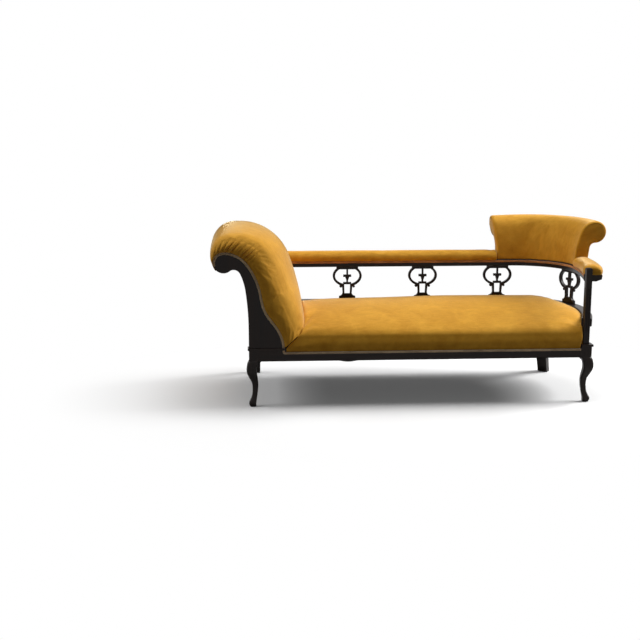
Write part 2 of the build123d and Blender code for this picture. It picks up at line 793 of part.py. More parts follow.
def ribbon(start, heading, stretches, near, far):
    """Strip between two lines beside a run, both given by their outset."""
    with BuildLine() as outline:
        first = draw_run(start, heading, stretches, near)
        second = draw_run(start, heading, stretches, far)
        side = direction(heading - 90.0)
        Line(Vector(*start) + side * near, Vector(*start) + side * far)
        Line(first, second)
    make_face(outline.edges())


with BuildPart() as scroll_end_webbing:
    web_pitch = facing_span / scroll_web_count
    for number in range(scroll_web_count):
        web_edge = facing_inner + web_pitch * (number + 0.5) - web_width / 2
        with BuildSketch(scroll_plane(web_edge)) as strip:
            ribbon(scroll_base, scroll_heading, scroll_sweep, -soft_gap - web_thickness, -soft_gap)
        extrude(strip.sketch, amount=-web_width)
keep(scroll_end_webbing, "scroll_end_webbing")

with BuildPart() as scroll_end_outside_cover:
    with BuildSketch(scroll_plane(facing_inner + soft_gap)):
        ribbon(neck_start, neck_heading, neck_line, -cover_thickness - sheet_thickness, -cover_thickness)
    extrude(amount=-(facing_span - 2 * soft_gap))
keep(scroll_end_outside_cover, "scroll_end_outside_cover")

with BuildPart() as scroll_end_gimp:
    trim = scroll_sweep + [(head_radius, tuck_wrap)]
    for face in (front_face, rear_face + gimp_thickness):
        with BuildSketch(scroll_plane(face)) as strip:
            ribbon(scroll_base, scroll_heading, trim, -gimp_width - gimp_margin, -gimp_margin)
        extrude(strip.sketch, amount=gimp_thickness)
    add([top_back_rail.part, lower_back_rail.part, scroll_base_bead.part], mode=Mode.SUBTRACT)
keep(scroll_end_gimp, "scroll_end_gimp")


def pad_section(y, inside, share, inner, lap, drop):
    """Section of the scroll end's padding: its outer line, round the head and back."""
    foot, heading, arcs = pad_line(share)
    begin = scroll_base + foot - direction(heading) * lap
    lead = [(lap, 0.0)] if lap else []
    tuck = head_centre + direction(90.0 + tuck_wrap) * (tuck_radius - min(inside, cover_inset))
    base = scroll_base + direction(scroll_heading - 90.0) * inner
    with BuildSketch(scroll_plane(y)) as section:
        with BuildLine() as outline:
            top = draw_run(begin, heading, lead + arcs, -inside)
            TangentArc(top, tuck, tangent=direction(line_end(heading, arcs)))
            end = draw_run(scroll_base, scroll_heading, scroll_sweep + [(head_radius, tuck_wrap)], inner)
            Line(tuck, end)
            if drop:
                Line(base, base - Vector(0.0, drop))
            Line(base - Vector(0.0, drop), begin - direction(heading - 90.0) * inside)
        make_face(outline.edges())
    return section.sketch


def scroll_padding(inset, inner, lap, drop):
    """Crowned padding over both facings, drawn in by the inset."""
    front_half = [(depth if depth else inset, inside + inset, share) for depth, inside, share in pad_layers]
    layers = [(front_face + depth, inside, share) for depth, inside, share in front_half]
    layers.append(((front_face + rear_face) / 2, inset, 1.0))
    layers = layers + [(rear_face - depth, inside, share) for depth, inside, share in reversed(front_half)]
    loft([pad_section(y, inside, share, inner, lap, drop) for y, inside, share in layers], ruled=True)


with BuildPart() as scroll_hollow:
    scroll_padding(cover_thickness, -cover_thickness, pad_lap, pad_foot_room)

with BuildPart() as scroll_room:
    scroll_padding(-soft_gap, -cover_thickness, soft_gap, pad_foot_room)

with BuildPart() as scroll_end_stuffing:
    scroll_padding(cover_inset, soft_gap, 0.0, 0.0)
    add([top_back_rail.part, lower_back_rail.part], mode=Mode.SUBTRACT)
keep(scroll_end_stuffing, "scroll_end_stuffing")

with BuildPart() as scroll_end_cover:
    scroll_padding(0.0, soft_gap, 0.0, 0.0)
    add(scroll_hollow.part, mode=Mode.SUBTRACT)
    add([top_back_rail.part, lower_back_rail.part], mode=Mode.SUBTRACT)
keep(scroll_end_cover, "scroll_end_cover")

# Padding along the back rail and the arm
half_pad = top_rail_width / 2 + rail_pad_overhang
pad_low = top_rail_top + soft_gap


def dome(inset, low):
    """Rounded pad section on the rail."""
    half = half_pad - inset
    shoulder = top_rail_top + rail_pad_shoulder
    with BuildLine() as outline:
        Polyline((half, shoulder), (half, low), (-half, low), (-half, shoulder))
        ThreePointArc((-half, shoulder), (0.0, top_rail_top + rail_pad_height - inset), (half, shoulder))
    make_face(outline.edges())


def dome_shell():
    """The cover's section: the pad's outline less what it holds."""
    dome(0.0, pad_low)
    with BuildSketch(mode=Mode.PRIVATE) as held:
        dome(cover_thickness, pad_low - cover_thickness)
    add(held.sketch, mode=Mode.SUBTRACT)


back_pad_left = scroll_x(top_rail_top) - corner_x
back_pad_stop = crest_start - soft_gap
arm_pad_start = crest_stop + soft_gap

with BuildPart() as back_rail_stuffing:
    follow_rail(lambda: dome(cover_inset, pad_low), back_pad_left, back_pad_stop)
    add([scroll_room.part, scroll_end_rear_facing.part], mode=Mode.SUBTRACT)
keep(back_rail_stuffing, "back_rail_stuffing")

with BuildPart() as back_rail_cover:
    follow_rail(dome_shell, back_pad_left, back_pad_stop)
    add([scroll_room.part, scroll_end_rear_facing.part], mode=Mode.SUBTRACT)
keep(back_rail_cover, "back_rail_cover")

with BuildPart() as arm_stuffing:
    follow_rail(lambda: dome(cover_inset, pad_low), arm_pad_start, arm_stop - cover_inset,
                sweep=arm_sweep_radius)
    add(post_blank.part, mode=Mode.SUBTRACT)
keep(arm_stuffing, "arm_stuffing")

with BuildPart() as arm_cover:
    follow_rail(dome_shell, arm_pad_start, arm_stop - cover_thickness, sweep=arm_sweep_radius)
    follow_rail(lambda: dome(0.0, pad_low), arm_stop - cover_thickness, arm_stop, sweep=arm_sweep_radius)
    add(post_blank.part, mode=Mode.SUBTRACT)
keep(arm_cover, "arm_cover")

half_top = top_rail_width / 2
gimp_top = top_rail_top - rail_rounding


def rail_gimp():
    """Braid on both sides of the rail, just under the padding."""
    bar(-half_top - gimp_thickness, -half_top, gimp_top - gimp_width, gimp_top)
    bar(half_top, half_top + gimp_thickness, gimp_top - gimp_width, gimp_top)


with BuildPart() as back_rail_gimp:
    follow_rail(rail_gimp, scroll_x(top_rail_low) - corner_x, 0.0)
    add([scroll_room.part, scroll_end_rear_facing.part, scroll_end_cover.part], mode=Mode.SUBTRACT)
keep(back_rail_gimp, "back_rail_gimp")

with BuildPart() as arm_gimp:
    follow_rail(rail_gimp, 0.0, arm_stop, sweep=arm_sweep_radius)
    add(post_blank.part, mode=Mode.SUBTRACT)
keep(arm_gimp, "arm_gimp")

with BuildPart() as seat_gimp:
    block_between((facing_end, front_face - gimp_thickness, show_top - gimp_width),
                  (right_block_face - collar_projection, front_face, show_top))
keep(seat_gimp, "seat_gimp")

# Crest: boards and a round rail inside, stuffing and covers around them
crest_top = pad_low + crest_face_radius * cos(lean) + crest_shoulder_radius * (1.0 - cos(lean))
crest_run = [
    (crest_face_radius, -crest_face_turn),
    (crest_shoulder_radius, crest_face_turn - 90.0),
    (crest_roll_radius, -90.0),
    (crest_roll_radius, -crest_roll_wrap),
    (crest_cove_radius, crest_roll_wrap),
]


def crest_section(inset, low):
    """Leaning face, rolled top and hollow back, drawn in by the inset."""
    start = Vector(-crest_base_inner, pad_low)
    with BuildLine() as outline:
        end = draw_run(start, 90.0, crest_run, inset)
        begin = start + Vector(inset, 0.0)
        Polyline(end, (end.X, low), (begin.X, low))
        if low < pad_low:
            Line((begin.X, low), begin)
    make_face(outline.edges())


def crest_shell():
    """The cover's section: the crest's outline less what it holds."""
    crest_section(0.0, pad_low)
    with BuildSketch(mode=Mode.PRIVATE) as held:
        crest_section(cover_thickness, pad_low - cover_thickness)
    add(held.sketch, mode=Mode.SUBTRACT)


def crest_round():
    """Section of the round rail in the middle of the rolled top."""
    with Locations((crest_reach - crest_roll_radius, crest_top - crest_roll_radius)):
        Circle(crest_rail_radius)


with BuildPart() as crest_top_rail:
    follow_rail(crest_round, crest_boards[0] - crest_board / 2, crest_boards[1] + crest_board / 2)
keep(crest_top_rail, "crest_top_rail")


def crest_board_at(length):
    """Upright board across the crest, standing on the rail."""
    follow_rail(lambda: crest_section(crest_padding, top_rail_top - crest_padding),
                length - crest_board / 2, length + crest_board / 2)
    follow_rail(lambda: bar(-half_pad, half_pad, top_rail_top - 2 * crest_padding, top_rail_top),
                length - crest_board, length + crest_board, mode=Mode.SUBTRACT)
    add([crest_top_rail.part, frame_dowels.part], mode=Mode.SUBTRACT)


with BuildPart() as crest_left_end_board:
    crest_board_at(crest_boards[0])
keep(crest_left_end_board, "crest_left_end_board")

with BuildPart() as crest_right_end_board:
    crest_board_at(crest_boards[1])
keep(crest_right_end_board, "crest_right_end_board")

uprights = []
for number, length in enumerate(crest_uprights, 1):
    with BuildPart() as upright:
        crest_board_at(length)
    keep(upright, "crest_upright_" + str(number))
    uprights.append(upright.part)

with BuildPart() as crest_stuffing:
    follow_rail(lambda: crest_section(cover_inset, pad_low),
                crest_start + cover_inset, crest_stop - cover_inset)
    add([crest_top_rail.part, crest_left_end_board.part, crest_right_end_board.part], mode=Mode.SUBTRACT)
    add(uprights + [frame_dowels.part], mode=Mode.SUBTRACT)
keep(crest_stuffing, "crest_stuffing")

with BuildPart() as crest_cover:
    follow_rail(crest_shell, crest_start + cover_thickness, crest_stop - cover_thickness)
keep(crest_cover, "crest_cover")

with BuildPart() as crest_end_covers:
    for edge in (crest_start, crest_stop - cover_thickness + soft_gap):
        follow_rail(lambda: crest_section(0.0, pad_low), edge, edge + cover_thickness - soft_gap)
keep(crest_end_covers, "crest_end_covers")

# Seat: webbing under the rails, springs, hessian, stuffing and cover
seat_front = front_face + rebate_depth - soft_gap - cover_thickness
seat_side = lower_rail_width / 2 + soft_gap


def sheet_outline(left, front, side):
    """Plan of the seat: straight front and back, rounded right end."""
    back = back_line - side
    turn = degrees(asin((corner_y - front) / (sweep_radius - side)))
    with BuildLine() as outline:
        bend = JernArc((corner_x, back), (1.0, 0.0), corner_radius - side, -90.0)
        sweep_arc = JernArc(bend @ 1, (0.0, -1.0), sweep_radius - side, -turn)
        Polyline(sweep_arc @ 1, (left, front), (left, back), (corner_x, back))
    make_face(outline.edges())


def seat_profile(x, swell, inset):
    """Upright section across the seat: rolled front edge and crowned top."""
    front = seat_front + inset
    depth = back_line - seat_side - seat_front
    crown = (seat_front + depth * seat_crown_place, rail_top + seat_crown_rise * swell - inset)
    back = (back_line - seat_side, rail_top + seat_back_rise * swell - inset)
    with BuildSketch(Plane.YZ.offset(x)) as section:
        with BuildLine() as outline:
            foot = (front, rail_top + seat_edge_rise)
            roll = JernArc(foot, (0.0, 1.0), seat_roll_radius - inset, -seat_roll_angle)
            ThreePointArc(roll @ 1, crown, back)
            Polyline(back, (back[0], leg_height), (front, leg_height), foot)
        make_face(outline.edges())
    return section.sketch


def seat_block(inset, low):
    """Crowned seat, drawn in by the inset."""
    left = facing_end + soft_gap + inset
    with BuildSketch(Plane.XY.offset(low)) as plan:
        sheet_outline(left, seat_front + inset, seat_side + inset)
    extrude(plan.sketch, amount=2 * seat_crown_rise)
    span = end_line - facing_end
    sections = [seat_profile(facing_end + span * share, swell, inset) for share, swell in seat_swell]
    loft(sections, mode=Mode.INTERSECT)
    with Locations((post_x, front_leg_y, rail_top)):
        room = leg_block + 2 * (soft_gap + inset)
        Box(room, room, 4 * seat_crown_rise, mode=Mode.SUBTRACT)


with BuildPart() as seat_hollow:
    seat_block(cover_thickness, rail_top - cover_thickness)

with BuildPart() as seat_stuffing:
    seat_block(cover_inset, hessian_top + soft_gap)
    add(scroll_room.part, mode=Mode.SUBTRACT)
keep(seat_stuffing, "seat_stuffing")

with BuildPart() as seat_cover:
    seat_block(0.0, hessian_top + soft_gap)
    add(seat_hollow.part, mode=Mode.SUBTRACT)
    block_between((facing_end + soft_gap, seat_front, show_top + soft_gap),
                  (right_block_face - soft_gap, seat_front + cover_thickness, rail_top + seat_edge_rise))
    add(scroll_room.part, mode=Mode.SUBTRACT)
keep(seat_cover, "seat_cover")

with BuildPart() as spring_hessian:
    with BuildSketch(Plane.XY.offset(rail_top + soft_gap)):
        sheet_outline(wedge_start, front_face + rebate_depth + sheet_thickness, half_rail / 2)
    extrude(amount=hessian_thickness)
    with Locations((post_x, front_leg_y, rail_top)):
        Box(leg_block + soft_gap, leg_block + soft_gap, seat_crown_rise, mode=Mode.SUBTRACT)
    add([rear_right_leg.part, scroll_room.part], mode=Mode.SUBTRACT)
keep(spring_hessian, "spring_hessian")

with BuildPart() as spring_blank:
    spring_low = leg_height + spring_wire
    spring_rise = seat_rail_height - 2 * spring_wire
    with BuildLine() as coil:
        quarters = 4 * spring_turns
        for quarter in range(quarters):
            spots = []
            for step in (0.0, 0.5, 1.0):
                angle = (quarter + step) * pi / 2
                height = spring_low + spring_rise * (quarter + step) / quarters
                spots.append((spring_radius * cos(angle), spring_radius * sin(angle), height))
            ThreePointArc(*spots)
    with BuildSketch(Plane(origin=coil.wire() @ 0, z_dir=coil.wire() % 0)):
        Circle(spring_wire)
    sweep()

with BuildPart() as seat_springs:
    with Locations((spring_field_x, spring_field_y, 0.0)):
        with GridLocations(spring_column_pitch, spring_row_pitch, spring_columns, spring_rows):
            add(spring_blank.part)
keep(seat_springs, "seat_springs")

web_top = leg_height - soft_gap


def rail_end_x(y):
    """Where the rounded end's rail line crosses a given depth."""
    if y >= corner_y:
        return corner_x + sqrt(corner_radius ** 2 - (y - corner_y) ** 2)
    return sweep_x + sqrt(sweep_radius ** 2 - (y - corner_y) ** 2)


with BuildPart() as seat_webbing_crosswise:
    first = spring_field_x - web_column_pitch * (web_columns - 1) / 2
    for number in range(web_columns):
        x = first + web_column_pitch * number
        reach = max(x + web_width / 2 - corner_x, 0.0)
        back = corner_y + sqrt(corner_radius ** 2 - reach ** 2)
        block_between((x - web_width / 2, front_face + half_rail, web_top - web_thickness),
                      (x + web_width / 2, back, web_top))
keep(seat_webbing_crosswise, "seat_webbing_crosswise")

with BuildPart() as seat_webbing_lengthwise:
    low = web_top - soft_gap - 2 * web_thickness
    first = spring_field_y - web_row_pitch * (web_rows - 1) / 2
    for number in range(web_rows):
        y = first + web_row_pitch * number
        block_between((left_leg_x, y - web_width / 2, low),
                      (rail_end_x(y) - sheet_thickness, y + web_width / 2, low + web_thickness))
keep(seat_webbing_lengthwise, "seat_webbing_lengthwise")

with BuildPart() as bottom_cloth:
    cloth_top = web_top - 2 * soft_gap - 2 * web_thickness
    with BuildSketch(Plane.XY.offset(cloth_top - hessian_thickness)):
        sheet_outline(left_leg_x, front_face + half_rail, 0.0)
    extrude(amount=hessian_thickness)
    add([front_left_leg.part, front_right_leg.part, knee_ears.part], mode=Mode.SUBTRACT)
    add([rear_left_leg.part, rear_right_leg.part], mode=Mode.SUBTRACT)
keep(bottom_cloth, "bottom_cloth")
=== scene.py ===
import math

import bmesh
import bpy
import numpy as np
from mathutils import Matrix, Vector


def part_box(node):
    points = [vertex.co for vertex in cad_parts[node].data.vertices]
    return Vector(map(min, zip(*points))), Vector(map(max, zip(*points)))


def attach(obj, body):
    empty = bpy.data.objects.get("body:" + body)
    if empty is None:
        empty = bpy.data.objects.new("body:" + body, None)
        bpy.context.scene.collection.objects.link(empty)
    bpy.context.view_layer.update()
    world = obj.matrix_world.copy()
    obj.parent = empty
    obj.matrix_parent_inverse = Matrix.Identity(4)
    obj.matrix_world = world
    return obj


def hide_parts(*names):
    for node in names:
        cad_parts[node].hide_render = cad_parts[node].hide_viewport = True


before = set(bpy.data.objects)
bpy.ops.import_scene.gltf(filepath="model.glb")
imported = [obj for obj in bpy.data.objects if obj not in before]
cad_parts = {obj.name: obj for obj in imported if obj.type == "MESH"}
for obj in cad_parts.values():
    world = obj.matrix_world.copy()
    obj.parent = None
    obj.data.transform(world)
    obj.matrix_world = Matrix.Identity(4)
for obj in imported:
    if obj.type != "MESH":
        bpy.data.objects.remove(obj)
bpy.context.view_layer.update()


# Legs, seat rails and facings: the show-wood. Mahogany stained almost black, French polished,
# and rubbed a little browner along the edges. The joints are tenons and dowels, glued.
def shade(material, kind, inputs=None, **settings):
    """One shader node, with values or links for its inputs."""
    node = material.node_tree.nodes.new(kind)
    for key, value in settings.items():
        setattr(node, key, value)
    for key, value in (inputs or {}).items():
        if isinstance(value, bpy.types.NodeSocket):
            material.node_tree.links.new(value, node.inputs[key])
        else:
            node.inputs[key].default_value = value
    return node


def finish_material(name):
    """A new material and its surface shader."""
    material = bpy.data.materials.new(name)
    material.use_nodes = True
    return material, material.node_tree.nodes["Principled BSDF"]


def wire(material, source, shader, socket):
    """Link a node's output to an input of the shader."""
    material.node_tree.links.new(source, shader.inputs[socket])


def set_finish(shader, values):
    """Plain values for the shader's own inputs."""
    for socket, value in values.items():
        shader.inputs[socket].default_value = value


def own_place(material):
    """Places on the piece itself, so that a pattern stays with it."""
    return shade(material, "ShaderNodeTexCoord").outputs["Object"]


def drawn_out(material, place, scale):
    """Places scaled apart along each axis, for a pattern that runs one way."""
    return shade(material, "ShaderNodeMapping", {"Vector": place, "Scale": scale}).outputs["Vector"]


def mottle(material, place, scale, detail, roughness=0.5, distortion=0.0):
    """An uneven tone between 0 and 1."""
    spots = shade(material, "ShaderNodeTexNoise",
                  {"Vector": place, "Scale": scale, "Detail": detail,
                   "Roughness": roughness, "Distortion": distortion})
    return spots.outputs["Fac"]


def blend(material, share, low, high):
    """A colour between two others."""
    return shade(material, "ShaderNodeMix", {"Factor": share, 6: low, 7: high},
                 data_type="RGBA").outputs[2]


def two_tone(material, share, *stops):
    """A colour that runs from one stop to the next, each a place and a colour."""
    ramp = shade(material, "ShaderNodeValToRGB", {"Fac": share})
    for stop, (place, colour) in zip(ramp.color_ramp.elements, stops):
        stop.position = place
        stop.color = colour
    return ramp.outputs["Color"]


def bumps(material, height, strength, distance, over=None):
    """Fine relief from a tone, on its own or laid over another."""
    inputs = {"Height": height, "Strength": strength, "Distance": distance}
    if over is not None:
        inputs["Normal"] = over
    return shade(material, "ShaderNodeBump", inputs).outputs["Normal"]


def polished_mahogany(name, along):
    """Dark polished wood whose grain runs along X, Y or Z."""
    material, shader = finish_material(name)
    black_stain = (0.0042, 0.0028, 0.0025, 1.0)
    brown_stain = (0.017, 0.0090, 0.0062, 1.0)
    rubbed_brown = (0.060, 0.029, 0.016, 1.0)
    arris_radius = 0.0022
    pore_depth = 0.0006
    across_grain = 46.0
    along_grain = 2.6
    stretch = [across_grain, across_grain, across_grain]
    stretch["XYZ".index(along)] = along_grain
    fibre = drawn_out(material, own_place(material), stretch)
    figure = mottle(material, fibre, 1.0, 7.0, roughness=0.62, distortion=0.5)
    pores = mottle(material, fibre, 9.0, 3.0)
    stain = two_tone(material, figure, (0.30, black_stain), (0.72, brown_stain))
    eased = shade(material, "ShaderNodeBevel", {"Radius": arris_radius}, samples=6).outputs["Normal"]
    flat = shade(material, "ShaderNodeNewGeometry").outputs["Normal"]
    turn = shade(material, "ShaderNodeVectorMath", {0: eased, 1: flat},
                 operation="DOT_PRODUCT").outputs["Value"]
    arris = shade(material, "ShaderNodeMapRange",
                  {"Value": turn, "From Min": 0.99, "From Max": 0.82}).outputs["Result"]
    rub = shade(material, "ShaderNodeMath", {0: arris, 1: figure}, operation="MULTIPLY").outputs["Value"]
    wire(material, blend(material, rub, stain, rubbed_brown), shader, "Base Color")
    haze = shade(material, "ShaderNodeMapRange",
                 {"Value": pores, "To Min": 0.24, "To Max": 0.46}).outputs["Result"]
    wire(material, haze, shader, "Roughness")
    wire(material, bumps(material, pores, 0.12, pore_depth, eased), shader, "Normal")
    set_finish(shader, {"Specular IOR Level": 0.12, "Coat Weight": 0.04, "Coat Roughness": 0.16})
    return material


mahogany = {along: polished_mahogany("mahogany_along_" + along.lower(), along) for along in "XYZ"}


def dress(nodes, material):
    """Give CAD pieces their finish."""
    for name in nodes:
        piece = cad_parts[name]
        piece.data.materials.clear()
        piece.data.materials.append(material)


dress(["front_left_leg", "front_right_leg", "rear_left_leg", "rear_right_leg", "arm_post",
       "scroll_end_front_facing", "scroll_end_rear_facing", "knee_ears",
       "back_splat_1", "back_splat_2", "back_splat_3", "back_splat_4"], mahogany["Z"])
dress(["front_seat_rail", "back_seat_rail", "lower_back_rail", "top_back_rail", "scroll_base_bead"],
      mahogany["X"])
dress(["lower_end_rail", "arm_rail", "right_end_seat_rail", "left_end_seat_rail"],
      mahogany["Y"])

# Inner frame: sawn beech rails, blocks, boards and pegs, left pale under the covers.
# Nothing of it is polished, and only its glued ends meet the show-wood.
beech, beech_shader = finish_material("sawn_beech")
beech_fibre = drawn_out(beech, own_place(beech), (90.0, 6.0, 90.0))
beech_fleck = mottle(beech, beech_fibre, 1.0, 5.0)
beech_tone = blend(beech, beech_fleck, (0.42, 0.24, 0.12, 1.0), (0.60, 0.40, 0.23, 1.0))
wire(beech, beech_tone, beech_shader, "Base Color")
set_finish(beech_shader, {"Roughness": 0.7})
dress(["seat_cross_rails", "corner_blocks", "frame_dowels", "scroll_end_head_rail",
       "scroll_end_middle_rail", "scroll_end_tacking_rail", "crest_top_rail", "crest_left_end_board",
       "crest_right_end_board", "crest_upright_1", "crest_upright_2"], beech)

# Springing: jute webbing, coppered steel springs and a sheet of hessian over them. All of it
# is tacked to the seat rails and hidden between the seat and the bottom cloth.
jute, jute_shader = finish_material("jute_webbing")
jute_weave = shade(jute, "ShaderNodeTexWave",
                   {"Vector": own_place(jute), "Scale": 180.0, "Distortion": 1.5}).outputs["Fac"]
jute_tone = blend(jute, jute_weave, (0.16, 0.10, 0.05, 1.0), (0.34, 0.24, 0.13, 1.0))
wire(jute, jute_tone, jute_shader, "Base Color")
set_finish(jute_shader, {"Roughness": 0.95})
dress(["seat_webbing_crosswise", "seat_webbing_lengthwise", "scroll_end_webbing"], jute)
dress(["spring_hessian"], jute)
steel, steel_shader = finish_material("coppered_steel")
steel_tarnish = mottle(steel, own_place(steel), 60.0, 4.0)
steel_tone = blend(steel, steel_tarnish, (0.30, 0.14, 0.08, 1.0), (0.55, 0.34, 0.24, 1.0))
wire(steel, steel_tone, steel_shader, "Base Color")
set_finish(steel_shader, {"Metallic": 1.0, "Roughness": 0.4})
dress(["seat_springs", "corner_screws"], steel)


# Scroll end: a stuffed pad that rises from the seat, leans back and rolls over the scrolled
# facings. Its velvet has a border front and rear, gathered round the head and tacked at the
# facings' edges, and a broad crowned panel between the two.
def mixed_tone(material, share, first, second):
    """A tone between two others."""
    return shade(material, "ShaderNodeMix", {"Factor": share, 2: first, 3: second},
                 data_type="FLOAT").outputs[0]


def golden_velvet(name):
    """Mustard silk velvet: short pile, brushed patches and a pale sheen on the turn of a form."""
    material, shader = finish_material(name)
    deep_mustard = (0.58, 0.262, 0.017, 1.0)
    bright_gold = (0.80, 0.405, 0.042, 1.0)
    pale_sheen = (1.0, 0.88, 0.58, 1.0)
    nap_depth = 0.004
    pile_depth = 0.0006
    place = own_place(material)
    brushed = mottle(material, place, 9.0, 5.0, roughness=0.6, distortion=0.8)
    lie = drawn_out(material, place, (30.0, 120.0, 30.0))
    tracks = mottle(material, lie, 1.0, 4.0, roughness=0.65)
    pile = mottle(material, place, 1300.0, 2.0)
    nap = mixed_tone(material, 0.4, brushed, tracks)
    tone = two_tone(material, nap, (0.34, deep_mustard), (0.68, bright_gold))
    root = shade(material, "ShaderNodeMapRange",
                 {"Value": pile, "From Min": 0.3, "From Max": 0.7,
                  "To Min": 0.82, "To Max": 1.06}).outputs["Result"]
    depth = shade(material, "ShaderNodeVectorMath", {0: tone, "Scale": root}, operation="SCALE")
    wire(material, depth.outputs["Vector"], shader, "Base Color")
    set_finish(shader, {"Roughness": 0.72, "Specular IOR Level": 0.12, "Sheen Weight": 1.0,
                        "Sheen Roughness": 0.3, "Sheen Tint": pale_sheen})
    ruffle = bumps(material, nap, 0.25, nap_depth)
    wire(material, bumps(material, pile, 0.35, pile_depth, ruffle), shader, "Normal")
    return material


velvet = golden_velvet("golden_velvet")


def grid_faces(first, rows, columns, around):
    """Faces of a grid of points from a number on; around closes each row to a ring."""
    faces = []
    for i in range(rows - 1):
        near = first + i * columns
        far = near + columns
        for j in range(columns if around else columns - 1):
            k = (j + 1) % columns
            faces.append((near + j, near + k, far + k, far + j))
    return faces


def fit_piece(name, mesh, material):
    """Set a finished mesh on the frame as a piece of its own."""
    mesh.polygons.foreach_set("use_smooth", [True] * len(mesh.polygons))
    mesh.materials.append(material)
    mesh.update()
    piece = bpy.data.objects.new(name, mesh)
    bpy.context.scene.collection.objects.link(piece)
    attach(piece, "root")
    return piece


def cloth_form(name, grid, material, around=False, ends=False, weld=False):
    """A piece from a grid of points: rows run along it, columns across or around it."""
    rows, columns = grid.shape[:2]
    spots = [tuple(p) for p in grid.reshape(-1, 3)]
    faces = grid_faces(0, rows, columns, around)
    if ends:
        faces.append(tuple(range(columns))[::-1])
        faces.append(tuple((rows - 1) * columns + j for j in range(columns)))
    mesh = bpy.data.meshes.new(name)
    mesh.from_pydata(spots, [], faces)
    trim = bmesh.new()
    trim.from_mesh(mesh)
    if weld:
        bmesh.ops.remove_doubles(trim, verts=trim.verts, dist=0.00002)
    bmesh.ops.recalc_face_normals(trim, faces=trim.faces)
    trim.to_mesh(mesh)
    trim.free()
    return fit_piece(name, mesh, material)


def settle(piece, held, slack, push, limit):
    """Let the velvet ease over its stuffing in a short cloth run, held where it is tacked."""
    moments = 20
    mesh = piece.data
    rest = np.zeros(3 * len(mesh.vertices))
    mesh.vertices.foreach_get("co", rest)
    rest = rest.reshape(-1, 3)
    tacks = piece.vertex_groups.new(name="tacks")
    tacks.add([int(k) for k in np.nonzero(held(rest))[0]], 1.0, "REPLACE")
    cloth = piece.modifiers.new("cloth", "CLOTH")
    cloth.settings.vertex_group_mass = "tacks"
    cloth.settings.use_pressure = True
    cloth.settings.uniform_pressure_force = push
    cloth.settings.shrink_min = -slack
    cloth.settings.effector_weights.gravity = 0.0
    cloth.settings.quality = 4
    cloth.settings.mass = 0.3
    cloth.settings.tension_stiffness = 12.0
    cloth.settings.compression_stiffness = 12.0
    cloth.settings.bending_stiffness = 1.5
    cloth.collision_settings.use_collision = False
    cloth.point_cache.frame_start = 1
    cloth.point_cache.frame_end = moments
    for moment in range(1, moments + 1):
        bpy.context.scene.frame_set(moment)
    eased = piece.evaluated_get(bpy.context.evaluated_depsgraph_get()).to_mesh()
    spots = np.zeros(3 * len(mesh.vertices))
    eased.vertices.foreach_get("co", spots)
    move = spots.reshape(-1, 3) - rest
    far = np.linalg.norm(move, axis=1)
    move *= (limit * np.tanh(far / limit) / np.maximum(far, 1e-9))[:, None]
    piece.modifiers.remove(cloth)
    piece.vertex_groups.remove(tacks)
    bpy.context.scene.frame_set(1)
    mesh.vertices.foreach_set("co", (rest + move).ravel())
    mesh.update()
    finer = piece.modifiers.new("finer", "SUBSURF")
    finer.levels = 1
    finer.render_levels = 1


def run(start, heading, stretches, step):
    """Points and headings along arcs (radius, turn) and straights (length, 0)."""
    x, z = start
    way = math.radians(heading)
    spots = [start]
    ways = [way]
    for size, turn in stretches:
        bend = math.radians(turn)
        count = max(2, math.ceil((abs(bend) * size if turn else size) / step))
        chord = 2.0 * size * math.sin(abs(bend) / count / 2.0) if turn else size / count
        for _ in range(count):
            way += bend / count / 2.0
            x += chord * math.cos(way)
            z += chord * math.sin(way)
            way += bend / count / 2.0
            spots.append((x, z))
            ways.append(way)
    return np.array(spots), np.array(ways)


def lengths_along(line):
    """Length from the start of a line to each of its points."""
    return np.concatenate([[0.0], np.cumsum(np.linalg.norm(np.diff(line, axis=0), axis=1))])


def even_steps(line, count):
    """A line cut in even steps."""
    along = lengths_along(line)
    steps = np.linspace(0.0, along[-1], count)
    return np.stack([np.interp(steps, along, line[:, k]) for k in range(line.shape[1])], axis=1)


def rounded(points, count):
    """A smooth line through the corners of a rough one, cut in even steps."""
    line = np.array(points, float)
    for _ in range(4):
        near = 0.75 * line[:-1] + 0.25 * line[1:]
        far = 0.25 * line[:-1] + 0.75 * line[1:]
        between = np.stack([near, far], axis=1).reshape(-1, line.shape[1])
        line = np.concatenate([line[:1], between, line[-1:]])
    return even_steps(line, count)


block_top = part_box("scroll_base_bead")[1].z
facing_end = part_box("scroll_base_bead")[1].x
front_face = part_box("scroll_end_front_facing")[0].y
rear_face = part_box("scroll_end_rear_facing")[1].y
fine_step = 0.003
scroll_foot = (facing_end, block_top)
scroll_heading = 94.0
scroll_sweep = [(0.185, 33.0), (0.040, 0.0), (0.170, -27.0), (0.030, 0.0), (0.300, 28.0), (0.125, 52.0)]
head_radius = 0.044
head_top = run(scroll_foot, scroll_heading, scroll_sweep, fine_step)[0][-1]
head_spot = head_top - np.array([0.0, head_radius])
pad_wrap = 138.0
tuck_angle = math.radians(90.0 + pad_wrap)
tuck_reach = head_radius + 0.004
tuck = head_spot + tuck_reach * np.array([math.cos(tuck_angle), math.sin(tuck_angle)])


def scroll_outline(wrap):
    """Edge of the facings from the foot up, and round the head by an angle."""
    return run(scroll_foot, scroll_heading, scroll_sweep + [(head_radius, wrap)], fine_step)


